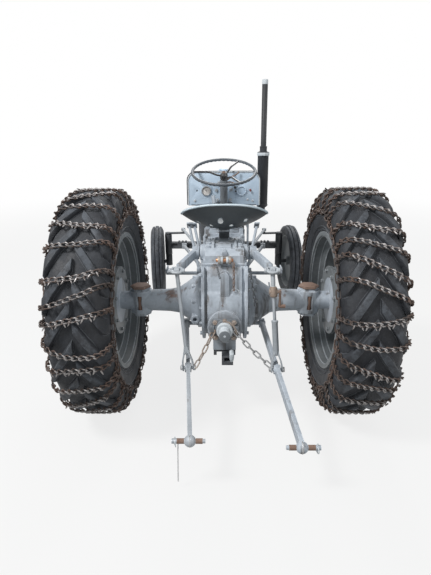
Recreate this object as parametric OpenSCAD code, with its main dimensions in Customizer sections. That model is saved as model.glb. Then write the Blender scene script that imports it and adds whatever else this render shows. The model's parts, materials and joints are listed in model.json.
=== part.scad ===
// Light farm tractor of the late 1940s, with tyre chains and a three-point rear lift.
// Millimetres. +Y is the way it drives, +X its right side, Z = 0 the ground under the wheels.
// Inside place() every y is measured from the rear axle.

/* [Wheelbase and tracks] */
// Rear axle to front axle
wheelbase = 1778; // [1700:1:1850]
// Rear tyre centre to rear tyre centre
rear_track = 1320; // [1290:1:1400]
// Front tyre centre to front tyre centre
front_track = 1220; // [1200:1:1300]

/* [Rear wheels] */
// Radius over the lug tips
tyre_r = 597; // [585:1:610]
// Width of the tyre section
tyre_w = 290; // [276:1:300]
// Height of a tread bar
lug_h = 24; // [16:1:28]
// Width of a tread bar
lug_w = 42; // [34:1:48]
// Tread bars on one side of the tyre
lug_count = 20; // [16:1:20]
// Radius where the rim seats the tyre's bead
rim_r = 356; // [350:1:360]
// Width of the rim over its flanges
rim_w = 254; // [246:1:262]
// Radius of the brake drum
drum_r = 178; // [150:1:190]

/* [Tyre chains] */
// Thickness of the chain
chain_d = 14; // [10:1:18]
// Cross chains around one tyre
cross_count = 32; // [16:4:40]

/* [Front wheels] */
// Radius over the ribs
ftyre_r = 330; // [310:1:350]
// Width of the front tyre
ftyre_w = 112; // [100:1:120]
// Radius of the front rim
frim_r = 238; // [225:1:245]

/* [Front axle and steering] */
// Kingpin to the centre line of the tractor
kingpin_x = 510; // [500:1:520]
// Way the front wheels are turned to the left as it stands, in degrees
steer_rest = 6; // [0:1:10]
// Kingpin to the ball of the steering arm
steer_arm = 140; // [120:1:160]
// Length of a drop arm between its centres
drop_len = 200; // [170:1:220]
// Diameter of the steering wheel over its rim
wheel_d = 457; // [400:1:470]
// Slope of the steering wheel against the level, in degrees
wheel_tilt = 18; // [15:1:26]

/* [Housings] */
// Half width of the rear axle centre housing
housing_hw = 112; // [100:1:118]
// Half width of the gearbox
gearbox_hw = 105; // [90:1:115]
// Height of the flat top of the housings above the ground
housing_top = 840; // [830:1:846]
// Radius of an axle tube at its outer end
tube_r = 48; // [44:1:54]

/* [Rear lift] */
// Lower link pivot to the ball at its rear end, as a level distance on the left
link_reach = 807; // [780:1:830]
// Diameter of the cross pins of the lower links
link_pin_d = 22; // [20:1:24]
// Depth of a lower link bar
link_h = 44; // [36:1:50]

/* [Bonnet and dash] */
// Half width of the bonnet
bonnet_hw = 212; // [200:1:222]
// Height of the bonnet top above the ground
bonnet_top = 1208; // [1195:1:1214]
// Thickness of the bonnet sheet
sheet_t = 4; // [3:0.5:5]
// Half width of the dash
dash_hw = 256; // [240:1:262]

/* [Seat and exhaust] */
// Half width of the seat pan
seat_hw = 235; // [210:1:245]
// Radius of the muffler
muffler_r = 40; // [34:1:46]
// Radius of the upright exhaust pipe
stack_r = 20; // [16:1:24]
// Height of the open end of the exhaust pipe
stack_top = 1828; // [1700:1:1850]

/* [Hidden] */
$fn = 64;

// Paint and metal
grey = [0.56, 0.60, 0.64];
pale = [0.72, 0.76, 0.79];
dark = [0.13, 0.13, 0.14];
rubber = [0.10, 0.10, 0.11];
rust = [0.42, 0.25, 0.16];

// Clearances
seat_gap = 0.3;
run_fit = 0.06;
move_gap = 6;

// Heights and places that several pieces share
wheel_r = tyre_r + seat_gap + chain_d;
axle_z = wheel_r;
shaft_r = 30;
plate_x = 572;
plate_t = 12;
drum_x = plate_x + plate_t + move_gap;
drum_w = 46;
housing_r = 200;
flange_r = 150;
housing_front = 280;
gearbox_front = 1160;

// Front end: what stands before and behind the front axle goes with the wheelbase
beam_w = 52;
boss_w = 80;
engine_gap = 48;
engine_front = wheelbase - boss_w / 2 - engine_gap;
radiator_y = wheelbase + 22;
radiator_t = 60;
support_len = 240;
hinge = [wheelbase + 167, 662];
nose_y = wheelbase + 180;

// Engine: undersides of the sump, the block and the head, and the top of the head
sump_low = 420;
block_low = 560;
head_low = 890;
head_top = 960;
crank_z = 668;
fan_z = 800;
hose_z = 1086;

// Rear lift: places as [y, z], with x for each side
cross_shaft = [30, 872];
cross_r = 22;
arm_x = 235;
arm_end = [-225, 848];
pivot = [60, 446];
pivot_x = 215;
link_end_y = pivot[0] - link_reach;
// Rear ends of the lower links, which lean to the right as it stands
link_ends = [[-150, link_end_y, 250], [320, link_end_y - 40, 250]];
// Where the lift rods meet the lower links, as a share of the way along them
rod_share = 0.4525;

// Front axle and steering places
spindle_r = 17;
kingpin_r = 18;
beam_z = 485;
tube_low = ftyre_r + 70;
tube_top = 585;
arm_t = 14;
drop_pivot = [1020, 850];
drop_x = 172;
drop_t = 14;
drop_pin_x = 201;
wheel_hub = [879, 1224];
drop_rest = asin(steer_arm * sin(steer_rest) / drop_len);

// The tractor lies centred on the frame's origin along its length
ball_r = 26;
rear_end = link_ends[1][1] - ball_r;
front_offset = front_track / 2 - kingpin_x;
rib_w = 26;
front_end = wheelbase + front_offset * sin(steer_rest) + ftyre_r * cos(steer_rest)
    + rib_w / 2 * sin(steer_rest);
axle_y = -(front_end + rear_end) / 2;

module place() {
    translate([0, axle_y, 0]) children();
}

module rod(p, q, r) {
    d = q - p;
    l = norm(d);
    translate(p) rotate([0, acos(d[2] / l), atan2(d[1], d[0])]) cylinder(h = l, r = r);
}

// A flat bar from p to q, w wide on the level and h deep
module strut(p, q, w, h) {
    d = q - p;
    l = norm(d);
    translate(p) rotate([0, acos(d[2] / l), atan2(d[1], d[0])])
        translate([-h / 2, -w / 2, 0]) cube([h, w, l]);
}

// A cylinder along X from x0 to x1 about the point [y, z]
module xrod(x0, x1, yz, r) {
    translate([x0, yz[0], yz[1]]) rotate([0, 90, 0]) cylinder(h = x1 - x0, r = r);
}

// A cylinder along Y from y0 to y1 about the point [x, z]
module yrod(y0, y1, xz, r) {
    translate([xz[0], y0, xz[1]]) rotate([-90, 0, 0]) cylinder(h = y1 - y0, r = r);
}

// A side view outline of [y, z] points, extruded from x0 to x1
module side_plate(x0, x1) {
    translate([x0, 0, 0]) rotate([90, 0, 90]) linear_extrude(x1 - x0) children();
}

// A revolve of [radius, x] points about the X axis through the point [y, z]
module xrevolve(yz, fn = 96) {
    translate([0, yz[0], yz[1]]) rotate([0, 90, 0]) rotate_extrude($fn = fn) children();
}

module mirror_if(on) {
    if (on) mirror([1, 0, 0]) children();
    else children();
}

// Rear axle

module housing_outline(grow) {
    translate([0, axle_z]) circle(r = housing_r + grow, $fn = 96);
    polygon([[rear_face - grow, axle_z], [rear_face - grow, 780], [rear_face + 25 - grow, housing_top],
        [housing_front, housing_top], [housing_front, 430], [0, axle_z - housing_r - grow]]);
}

rear_face = -165;
pto_z = 540;
pto_face = -215;
pad_z = 395;

module centre_housing() {
    shoulder = 24;
    flange_in = 8;
    flange_out = 6;
    flange_rise = 12;
    rib_r = 22;
    rib_low = 700;
    rib_top = 824;
    plug = [53, 668];
    plug_r = 21;
    filler = [53, 712];
    filler_r = 19;
    seat_r = 88;
    foot_hw = 60;
    pin_boss = 150;
    pin_end = 236;
    color(grey) place() {
        side_plate(shoulder - housing_hw, housing_hw - shoulder) housing_outline(0);
        side_plate(-housing_hw, housing_hw) housing_outline(-14);
        for (s = [-1, 1])
            side_plate(s > 0 ? housing_hw - flange_in : -housing_hw - flange_out,
                s > 0 ? housing_hw + flange_out : -housing_hw + flange_in)
                intersection() {
                    housing_outline(flange_rise);
                    translate([-260, 300]) square([housing_front + 260, housing_top - 300]);
                }
        // Rib with a round top, filler and level plugs
        translate([-rib_r, rear_face - 18, rib_low]) cube([2 * rib_r, 40, rib_top - rib_low - rib_r]);
        yrod(rear_face - 18, rear_face + 40, [0, rib_top - rib_r], rib_r);
        yrod(rear_face - 6, rear_face + 10, filler, filler_r);
        yrod(rear_face - 12, rear_face - 6, filler, filler_r - 7);
        yrod(rear_face - 8, rear_face + 10, plug, plug_r);
        translate([plug[0], rear_face - 8, plug[1]]) rotate([90, 0, 0]) cylinder(h = 10, r = 13, $fn = 6);
        // Seat of the power take-off, and the foot under it
        yrod(pto_face, -60, [0, pto_z], seat_r);
        translate([-foot_hw, -180, pad_z]) cube([2 * foot_hw, 200, 130]);
        for (s = [-1, 1]) {
            xrod(s > 0 ? 0 : -pin_boss, s > 0 ? pin_boss : 0, pivot, 24);
            xrod(s > 0 ? pin_boss : -pin_end, s > 0 ? pin_end : -pin_boss, pivot, 12);
        }
    }
}

module axle_housing(side) {
    pad_x = 460;
    pad_r = 52;
    boss_r = 60;
    slot_w = 28;
    lug = [-156, 553];
    lug_end = 145;
    color(grey) place() {
        mirror_if(side < 0) difference() {
            union() {
                xrevolve([0, axle_z])
                    polygon([[0, housing_hw + 6], [flange_r, housing_hw + 6], [flange_r, 134], [140, 150],
                        [100, 205], [70, 250], [62, 300], [57, 430], [tube_r, plate_x],
                        [185, plate_x], [185, plate_x + plate_t], [0, plate_x + plate_t]]);
                for (z = [-80, 60])
                    translate([pad_x, 0, axle_z + z]) cylinder(h = 20, r = pad_r, $fn = 6);
                difference() {
                    translate([pad_x, 0, axle_z - 62]) cylinder(h = 124, r = boss_r);
                    translate([pad_x - slot_w / 2, -boss_r - 5, axle_z - 40]) cube([slot_w, 28, 80]);
                }
                translate([pad_x, 12 - boss_r, axle_z - 50]) cylinder(h = 100, r = 9);
            }
            xrod(510, 600, [0, axle_z], shaft_r + run_fit);
        }
        // Threaded boss behind the left trumpet
        if (side < 0) difference() {
            translate([lug[0], -60, lug[1]]) rotate([90, 0, 0]) cylinder(h = lug_end - 60, r = 25, $fn = 6);
            yrod(-lug_end - 5, 35 - lug_end, lug, 12);
        }
    }
}

rocker_y = -112;
cover_top = 918;

module lift_cover() {
    cover_hw = 100;
    boss_hw = 130;
    base_t = 12;
    rib_t = 12;
    rib_rise = 9;
    hatch = [70, 92, 14];
    nose_r = 14;
    color(grey) place() difference() {
        union() {
            side_plate(-cover_hw, cover_hw)
                polygon([[rocker_y, housing_top], [rocker_y, cover_top - 26], [-70, cover_top],
                    [170, cover_top],
                    [250, cover_top - 38], [housing_front, housing_top]]);
            side_plate(-housing_hw, housing_hw)
                polygon([[rocker_y - 10, housing_top], [rocker_y - 10, housing_top + base_t],
                    [housing_front, housing_top + base_t], [housing_front, housing_top]]);
            xrod(-boss_hw, boss_hw, cross_shaft, 40);
            for (s = [-1, 1]) xrod(s > 0 ? cover_hw : -124, s > 0 ? 124 : -cover_hw, cross_shaft, 47);
            // Ribs over the top and a hatch on it
            for (x = [-60, 60]) side_plate(x - rib_t / 2, x + rib_t / 2)
                polygon([[-60, cover_top - 4], [-40, cover_top + rib_rise], [140, cover_top + rib_rise],
                    [170, cover_top - 4]]);
            translate([-hatch[0] / 2, 30 - hatch[1], cover_top - 4]) cube(hatch);
            yrod(rocker_y - 5, -60, [0, cover_top - 13], nose_r);
        }
        xrod(-140, 140, cross_shaft, cross_r + run_fit);
        translate([-140, -400, housing_top - 100]) cube([280, 1000, 100]);
    }
}

top_pin = [-150, 880];

module top_link_rocker() {
    rocker_hw = 34;
    ear_t = 12;
    ear_r = 20;
    foot_t = 10;
    low = top_pin[1] - 25;
    high = top_pin[1] + 10;
    color(rust) place() difference() {
        union() {
            side_plate(-rocker_hw, rocker_hw)
                polygon([[rocker_y - foot_t, low], [rocker_y - foot_t, high], [rocker_y, high],
                    [rocker_y, low]]);
            for (x = [-rocker_hw, rocker_hw - ear_t])
                side_plate(x, x + ear_t) {
                    translate(top_pin) circle(r = ear_r);
                    polygon([[rocker_y - 5, low], [rocker_y - 5, high], [top_pin[0], top_pin[1] + ear_r],
                        [top_pin[0], top_pin[1] - ear_r]]);
                }
        }
        xrod(-rocker_hw - 6, rocker_hw + 6, top_pin, 9.6);
    }
}

module pto_housing() {
    flange = [[-63, 50], [63, 50], [80, 0], [60, -62], [-60, -62], [-80, 0]];
    flange_t = 18;
    pin_r = 28;
    pin_len = 110;
    bolts = [[-48, 36], [0, 44], [48, 36], [56, -14], [46, -48], [-46, -48], [-56, -14]];
    lug = [18, 20, 30];
    color(grey) place() {
        translate([0, pto_face, pto_z]) rotate([90, 0, 0]) linear_extrude(flange_t) polygon(flange);
        yrod(pto_face - 30, pto_face - flange_t, [0, pto_z], 50);
        yrod(pto_face - 50, pto_face - 30, [0, pto_z], 40);
        yrod(pto_face - pin_len, pto_face - 50, [0, pto_z], pin_r);
        for (p = bolts) yrod(pto_face - flange_t - 4, pto_face - flange_t, [p[0], pto_z + p[1]], 13);
        for (s = [-1, 1]) translate([s * 62 - lug[0] / 2, pto_face - 34, pto_z - 12]) cube(lug);
    }
}

module rear_hitch() {
    color(grey) place() {
        translate([-58, -175, pad_z - 14]) cube([116, 150, 14]);
        for (s = [-1, 1]) translate([s * 50 - 8, -175, pad_z - 34]) cube([16, 40, 20.5]);
        difference() {
            translate([-15, -232, pad_z - 64]) cube([60, 120, 50.5]);
            translate([-2, -240, pad_z - 44]) cube([34, 100, 22]);
        }
    }
}

// Gearbox, engine and front end

steer_box_top = 1000;
bell_y = 862;
bell_r = 215;

module gearbox() {
    rib_t = 14;
    front_low = 800;
    step_y = 560;
    floor_z = 400;
    bell_z = 610;
    bell_hw = 150;
    joint_y = 700;
    joint_low = 470;
    joint_x = 118;
    socket_y = 600;
    lever = [[0, socket_y, housing_top + 10], [-20, socket_y + 40, 930], [-66, socket_y + 100, 1040]];
    knob_r = 13;
    hatch = [76, 34, 20];
    color(grey) place() {
        side_plate(-gearbox_hw, gearbox_hw)
            polygon([[housing_front, floor_z + 30], [housing_front, housing_top], [step_y, housing_top],
                [step_y + 60, front_low], [gearbox_front, front_low], [gearbox_front, floor_z + 20],
                [step_y + 60, floor_z]]);
        // Bell housing: flanges at both its ends and a round case between them
        intersection() {
            union() {
                yrod(bell_y, gearbox_front, [0, bell_z], bell_r - rib_t);
                for (y = [bell_y, gearbox_front - rib_t]) yrod(y, y + rib_t, [0, bell_z], bell_r + 6);
            }
            translate([-bell_hw, bell_y - 50, floor_z - 20])
                cube([2 * bell_hw, gearbox_front - bell_y + 60, front_low - floor_z + 20]);
        }
        // Upright flanges where the two castings meet, each with its web
        for (s = [-1, 1]) {
            translate([s * joint_x - rib_t, joint_y, joint_low]) cube([2 * rib_t, rib_t, 390]);
            translate([s > 0 ? 98 : -110, joint_y, joint_low]) cube([12, 70, 330]);
        }
        side_plate(1 - gearbox_hw, gearbox_hw - 1)
            polygon([[joint_y, front_low - 10], [joint_y, front_low + 30],
                [joint_y + rib_t, front_low + 30],
                [joint_y + 100, front_low - 1], [joint_y + 100, front_low - 10]]);
        translate([-hatch[0] / 2, housing_front + 8, housing_top - 4]) cube(hatch);
        // Gear lever in its domed socket
        translate([0, socket_y, housing_top - 50]) cylinder(h = 42, r1 = 44, r2 = 28);
        translate([0, socket_y, housing_top - 12]) cylinder(h = 34, r1 = 22, r2 = 17);
        for (i = [0 : 1]) {
            d = (lever[i + 1] - lever[i]) / norm(lever[i + 1] - lever[i]);
            rod(lever[i] - 2 * i * d, lever[i + 1] + 2 * d, 8 - i, $fn = 8);
        }
        translate(lever[2]) rotate([0, 12, 129]) translate([0, 0, -6])
            cylinder(h = 52, r = knob_r, $fn = 12);
    }
}

engine_len = engine_front - gearbox_front;
pulley_t = 25;
fan_r = 165;
block_hw = 105;
head_hw = 82;
port_z = 850;
bulge_x = 56;
bulge_r = 44;

// A place along the engine at a share of its length
function along(share) = gearbox_front + share * engine_len;

cylinder_y = [for (i = [0 : 3]) along(0.142 + 0.198 * i)];

// Four-cylinder engine, open to both sides under the bonnet
module engine() {
    cover_z = head_top - 30;
    deck = head_low - 60;
    rail = [9, 16];
    sump_hw = 92;
    dynamo = [-160, 742];
    dynamo_r = 48;
    filter = [-148, along(0.283), 640];
    filter_r = 40;
    starter = [-142, 575];
    starter_r = 46;
    distributor = [138, along(0.566), 700];
    distributor_r = 32;
    carburettor = [136, along(0.264), 690];
    crank_r = 52;
    fan_pulley_r = 50;
    belt = [10, 8];
    blade = [54, 4];
    hose_r = 21;
    outlet_y = engine_front - 36;
    color(grey) place() {
        // Crankcase, block with a bulge at each cylinder, and the sump hung under its rail
        translate([-block_hw, gearbox_front, block_low]) cube([2 * block_hw, engine_len, deck - block_low]);
        translate([-head_hw, gearbox_front, deck - 30]) cube([2 * head_hw, engine_len - 20, 90]);
        for (y = cylinder_y, s = [-1, 1])
            translate([s * bulge_x, y, deck - 20]) cylinder(h = 78, r = bulge_r);
        translate([-block_hw - rail[0], gearbox_front, block_low - rail[1] / 2])
            cube([2 * (block_hw + rail[0]), engine_len, rail[1]]);
        side_plate(-sump_hw, sump_hw)
            polygon([[gearbox_front, block_low], [gearbox_front, sump_low + 30],
                [gearbox_front + 70, sump_low],
                [along(0.566), sump_low], [along(0.717), sump_low + 55],
                [engine_front, sump_low + 70], [engine_front, block_low]]);
        for (i = [0 : 5]) translate([-sump_hw - 6, along(0.113 + 0.1415 * i), sump_low + 70])
            cube([2 * sump_hw + 12, 8, 70]);
        translate([0, along(0.283), sump_low - 14]) cylinder(h = 20, r = 20, $fn = 6);
        // Head, and its rocker cover with sloping shoulders
        translate([-head_hw, gearbox_front + 10, head_low - 2])
            cube([2 * head_hw, engine_len - 30, cover_z - head_low + 2]);
        translate([0, gearbox_front + engine_len - 60, 0]) rotate([90, 0,
            0]) linear_extrude(engine_len - 110)
            polygon([[-60, cover_z - 2], [-60, head_top - 12], [-44, head_top], [44, head_top],
                [60, head_top - 12], [60, cover_z - 2]]);
        // Dynamo on the left in its cradle, filter and starter below it
        yrod(engine_front - 250, engine_front - 50, dynamo, dynamo_r);
        yrod(engine_front - 50, engine_front + pulley_t, dynamo, 8);
        yrod(engine_front + 2, engine_front + pulley_t, dynamo, dynamo_r - 6);
        translate([dynamo[0] + 10, engine_front - 200, dynamo[1] - 72]) cube([60, 90, 40]);
        translate(filter) cylinder(h = 150, r = filter_r);
        translate(filter - [0, 0, 10]) cylinder(h = 16, r = 16, $fn = 6);
        translate(filter + [0, -30, 100]) cube([60, 60, 36]);
        yrod(gearbox_front + 2, gearbox_front + 210, starter, starter_r);
        // Distributor and carburettor on the right
        translate(distributor) cylinder(h = 70, r = distributor_r);
        translate(distributor + [0, 0, 70]) cylinder(h = 26, r1 = distributor_r, r2 = distributor_r - 12);
        translate(distributor - [38, 20, 10]) cube([40, 40, 40]);
        translate(carburettor) cylinder(h = 90, r = 30);
        translate(carburettor + [-36, -20, 40]) cube([30, 40, 40]);
        // Front cover, crank pulley, pump, fan and the belt's run
        translate([-78, engine_front - 20, crank_z - crank_r - 1]) cube([156, 30, 205]);
        yrod(engine_front, engine_front + pulley_t, [0, crank_z], crank_r);
        yrod(engine_front - 20, engine_front + pulley_t, [0, fan_z], 38);
        yrod(engine_front + 4, engine_front + pulley_t, [0, fan_z], fan_pulley_r);
        for (side = [-1, 1])
            strut([side * (crank_r - 5), engine_front + 15, crank_z],
                [side * (fan_pulley_r - 5), engine_front + 15, fan_z], belt[0], belt[1]);
        for (a = [0 : 90 : 270])
            translate([0, engine_front + pulley_t + 3, fan_z]) rotate([0, a, 0]) rotate([0, 0, 24])
                translate([-blade[0] / 2, -blade[1] / 2, 30]) cube([blade[0], blade[1], fan_r - 30]);
        yrod(engine_front + pulley_t, engine_front + pulley_t + 12, [0, fan_z], 40);
        // Water outlet and top hose
        translate([0, outlet_y, head_low + 20]) cylinder(h = hose_z - head_low - 20, r = hose_r + 4);
        yrod(outlet_y, radiator_y - 10 - seat_gap, [0, hose_z], hose_r);
    }
}

support_low = 520;
support_top = 640;
shelf_low = support_low + 60;

module front_support() {
    color(grey) place() {
        translate([-100, engine_front, support_low]) cube([200, support_len, shelf_low - support_low]);
        translate([-150, engine_front + 50, shelf_low]) cube([300, support_len - 60,
            support_top - shelf_low]);
        translate([-100, engine_front, support_low]) cube([200, 50, 90]);
        for (s = [-1, 1]) {
            translate([s * 140 - 8, hinge[0] - 65, shelf_low + 20]) cube([16, 65, 74]);
            xrod(s > 0 ? 140 : -176, s > 0 ? 176 : -140, hinge, 8);
        }
    }
}

module front_axle() {
    flange_t = 13;
    web_t = 18;
    beam_h = 58;
    color(dark) place() difference() {
        union() {
            side_plate(-kingpin_x, kingpin_x) translate([wheelbase, beam_z]) difference() {
                square([beam_w, beam_h], center = true);
                for (s = [-1, 1]) translate([s * (beam_w + web_t) / 4, 0])
                    square([(beam_w - web_t) / 2 + 0.01, beam_h - 2 * flange_t], center = true);
            }
            translate([-40, wheelbase - boss_w / 2, beam_z - 45]) cube([80, boss_w,
                support_low - beam_z + 45]);
            for (s = [-1, 1]) {
                translate([s * kingpin_x, wheelbase, tube_low]) cylinder(h = tube_top - tube_low, r = 32);
                translate([s * (kingpin_x - 130) - 45, wheelbase - beam_w / 2, beam_z - beam_h / 2])
                    cube([90, beam_w, beam_h]);
            }
        }
        for (s = [-1, 1])
            translate([s * kingpin_x, wheelbase, tube_low - 10]) cylinder(h = 250, r = kingpin_r + run_fit);
    }
}

module radius_rods() {
    color(pale) place() for (s = [-1, 1]) {
        a = [s * 360, wheelbase - beam_w / 2 - 20, beam_z];
        b = [s * 170, 1080, 470];
        rod(a, b, 15);
        translate([a[0] - 22, a[1] - 5, a[2] - 25]) cube([44, 25, 50]);
        xrod(s > 0 ? 150 : -188, s > 0 ? 188 : -150, [b[1], b[2]], 24);
    }
}

radiator_hw = bonnet_hw - 22;
core_h = 420;
header_h = 60;

module radiator() {
    tank_t = radiator_t + 20;
    fin_gap = 24;
    color(dark) place() {
        difference() {
            translate([-radiator_hw, radiator_y, support_top]) cube([2 * radiator_hw, radiator_t, core_h]);
            for (z = [support_top + 60 : fin_gap : support_top + core_h - 20], y = [-1, radiator_t - 5])
                translate([20 - radiator_hw, radiator_y + y, z]) cube([2 * radiator_hw - 40, 6,
                    fin_gap - 8]);
        }
        translate([-radiator_hw + 15, radiator_y - 10, support_top + core_h])
            cube([2 * radiator_hw - 30, tank_t, header_h]);
        translate([0, radiator_y + radiator_t / 2,
            support_top + core_h + header_h - 2]) cylinder(h = 26, r = 30);
    }
}

tank_y = 1200;
tank_hw = bonnet_hw - 32;
tank_len = engine_front - tank_y - 70;
tank_h = 130;

module fuel_tank() {
    color(grey) place() {
        translate([-tank_hw, tank_y, head_top + 50]) cube([2 * tank_hw, tank_len, tank_h]);
        for (y = [tank_y + 40, tank_y + tank_len - 80])
            translate([-70, y, head_top]) cube([140, 30, 50]);
        translate([0, tank_y + 100, head_top + 50 + tank_h]) cylinder(h = 26, r = 36);
    }
}

dash_y = 985;
scuttle_end = 1097;
dash_low = 975;
gauge_z = 1081;
gauge_r = 30;

module dash_outline(g) {
    r = 62;
    translate([-dash_hw + g, dash_low]) square([2 * (dash_hw - g), bonnet_top + 4 - dash_low - r]);
    translate([-dash_hw + r, dash_low]) square([2 * (dash_hw - r), bonnet_top + 4 - dash_low - g]);
    for (s = [-1, 1]) translate([s * (dash_hw - r), bonnet_top + 4 - r]) circle(r = r - g);
}

module dash() {
    face_t = 6;
    column = [0, sin(wheel_tilt), -cos(wheel_tilt)];
    hub = [0, wheel_hub[0], wheel_hub[1]];
    color(pale) place() difference() {
        union() {
            translate([0, dash_y + face_t, 0]) rotate([90, 0, 0]) linear_extrude(face_t) dash_outline(0);
            translate([0, scuttle_end, 0]) rotate([90, 0, 0]) linear_extrude(scuttle_end - dash_y)
                difference() {
                    dash_outline(0);
                    dash_outline(sheet_t);
                    translate([-300, dash_low - 1]) square([600, 2]);
                }
            translate([-62, dash_y, steer_box_top]) cube([124, 70, 6]);
            // Bezels of the gauges, and the pressed flanges beside the steering column
            for (s = [-1, 1]) yrod(dash_y - 7, dash_y + face_t, [s * 126, gauge_z], gauge_r + 4);
            for (s = [-1, 1]) translate([s * 49 - 26, dash_y - 5, steer_box_top]) cube([52, 11, 122]);
        }
        translate([-60.5, 900, 800]) cube([121, 300, steer_box_top - 800]);
        for (s = [-1, 1]) yrod(dash_y - 8, dash_y - 2, [s * 126, gauge_z], gauge_r);
        yrod(dash_y - 10, dash_y + 20, [-194, gauge_z], 6);
        rod(hub, hub + 400 * column, 36);
    }
}

// Steering

// Depth of the wheel's hub below its rim
hub_drop = 26;

module steering_column() {
    hub = [0, wheel_hub[0], wheel_hub[1]];
    axis = [0, sin(wheel_tilt), -cos(wheel_tilt)];
    color(grey) place() {
        translate([-60, 985, 800]) cube([120, 80, steer_box_top - 800]);
        rod(hub + (hub_drop + 32) * axis, hub + 330 * axis, 27);
        rod(hub + (hub_drop - 5) * axis, hub + (hub_drop + 60) * axis, 11);
        for (s = [-1, 1]) {
            xrod(s > 0 ? 60 : -165, s > 0 ? 165 : -60, drop_pivot, 30);
            xrod(s > 0 ? 160 : -190, s > 0 ? 190 : -160, drop_pivot, 15);
        }
    }
}

module steering_wheel() {
    rim_d = 22;
    rim_r = (wheel_d - rim_d) / 2;
    bend = 108;
    color(dark) place() translate([0, wheel_hub[0], wheel_hub[1]]) rotate([wheel_tilt, 0, 0])
        difference() {
            union() {
                rotate_extrude($fn = 96) translate([rim_r, 0]) circle(d = rim_d, $fn = 24);
                translate([0, 0, -hub_drop - 24]) cylinder(h = 30, r = 27);
                translate([0, 0, -hub_drop + 6]) cylinder(h = 14, r1 = 27, r2 = 15);
                // Spokes run level from the rim and then down to the hub
                for (a = [60, 180, 300]) rotate([0, 0, a]) {
                    rod([18, 0, -hub_drop - 6], [bend + 3, 0, 1], 7);
                    rod([bend - 3, 0, 0], [rim_r - 2, 0, 0], 7);
                }
            }
            translate([0, 0, -hub_drop - 30]) cylinder(h = 36, r = 11 + run_fit);
        }
}

// A drop arm hangs forward of its pivot by drop_rest on the left, and as far back on the right
module drop_arm(side) {
    swing = -side * drop_rest;
    color(grey) place() mirror_if(side < 0)
        translate([0, drop_pivot[0], drop_pivot[1]]) rotate([swing, 0, 0]) difference() {
            union() {
                xrod(drop_x, drop_x + drop_t, [0, 0], 28);
                xrod(drop_x, drop_x + drop_t, [0, -drop_len], 18);
                side_plate(drop_x, drop_x + drop_t)
                    polygon([[-22, 0], [22, 0], [14, -drop_len], [-14, -drop_len]]);
                xrod(drop_x + 2, drop_pin_x + 14, [0, -drop_len], 9);
            }
            xrod(drop_x - 1, drop_x + drop_t + 1, [0, 0], 15 + run_fit);
        }
}

link_eye_z = tube_top + 5 + arm_t + 24;

module drag_link(side) {
    push = -side * drop_len * sin(drop_rest);
    back = [drop_pin_x, drop_pivot[0] + push, drop_pivot[1] - drop_len * cos(drop_rest)];
    front = [kingpin_x - steer_arm * cos(steer_rest), wheelbase + push, link_eye_z];
    color(pale) place() mirror_if(side < 0) difference() {
        union() {
            rod(back, front, 11);
            xrod(drop_pin_x - 10, drop_pin_x + 12, [back[1], back[2]], 20);
            translate([front[0], front[1], front[2] - 12]) cylinder(h = 26, r = 19);
        }
        xrod(drop_pin_x - 30, drop_pin_x + 30, [back[1], back[2]], 9 + run_fit);
    }
}

module at_knuckle(side) {
    place() translate([side * kingpin_x, wheelbase, 0]) rotate([0, 0, steer_rest])
        mirror_if(side < 0) children();
}

module knuckle(side) {
    color(dark) at_knuckle(side) {
        translate([0, 0, ftyre_r - 20]) cylinder(h = tube_top + 5 + arm_t - ftyre_r + 20, r = kingpin_r);
        translate([0, 0, ftyre_r - 34]) cylinder(h = tube_low - ftyre_r + 29, r = 30);
        xrod(0, front_offset + 45, [0, ftyre_r], spindle_r);
        translate([0, 0, tube_top + 5]) cylinder(h = arm_t, r = 28);
        translate([-steer_arm, -16, tube_top + 5]) cube([steer_arm, 32, arm_t]);
        translate([-steer_arm, 0, tube_top + 5]) cylinder(h = arm_t, r = 17);
        translate([-steer_arm, 0, tube_top + 10]) cylinder(h = arm_t, r = 9);
    }
}

// Wheels

module front_tyre(side) {
    h = ftyre_w / 2;
    groove = ftyre_r - 15;
    half = [[ftyre_r, rib_w / 2], [groove, rib_w / 2 + 2], [groove, rib_w / 2 + 8],
        [ftyre_r - 4, rib_w / 2 + 10], [ftyre_r - 8, h - 17], [ftyre_r - 24, h - 8], [frim_r + 50, h],
        [frim_r + 30, h - 6], [frim_r + 8, 33 - seat_gap], [frim_r + seat_gap, 33 - seat_gap]];
    color(rubber) at_knuckle(side) translate([front_offset, 0, 0]) xrevolve([0, ftyre_r])
        polygon(concat(half, [for (i = [len(half) - 1 : -1 : 0]) [half[i][0], -half[i][1]]]));
}

module front_rim(side) {
    color(grey) at_knuckle(side) translate([front_offset, 0, 0]) difference() {
        xrevolve([0, ftyre_r])
            polygon([[0, -28], [40, -28], [40, 4], [95, 14], [frim_r - 22, 10], [frim_r - 5, -32],
                [frim_r, -33.5], [frim_r, 33.5], [frim_r - 5, 33], [frim_r - 22, 20], [95, 22],
                    [40, 50], [0, 50]]);
        xrod(-40, 46, [0, ftyre_r], spindle_r + run_fit);
    }
}

// The tyre's outer line from the side wall to the crown: radius, half width, and the way out from it
crown = [[tyre_r - 112, tyre_w / 2, 0, 1], [tyre_r - 60, tyre_w / 2 - 1, 0.1, 1],
    [tyre_r - 26, tyre_w / 2 - 14, 0.9, 0.8], [tyre_r - 8, 80, 1, 0.1], [tyre_r, 12, 1, 0]];

function crown_line(d) = [for (p = crown) [p[0] + d * p[2], p[1] + d * p[3]]];
function other_side(line) = [for (i = [len(line) - 1 : -1 : 0]) [line[i][0], -line[i][1]]];
function backwards(line) = [for (i = [len(line) - 1 : -1 : 0]) line[i]];

module at_rear_wheel(side) {
    place() mirror_if(side < 0) translate([rear_track / 2, 0, 0]) children();
}

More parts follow.
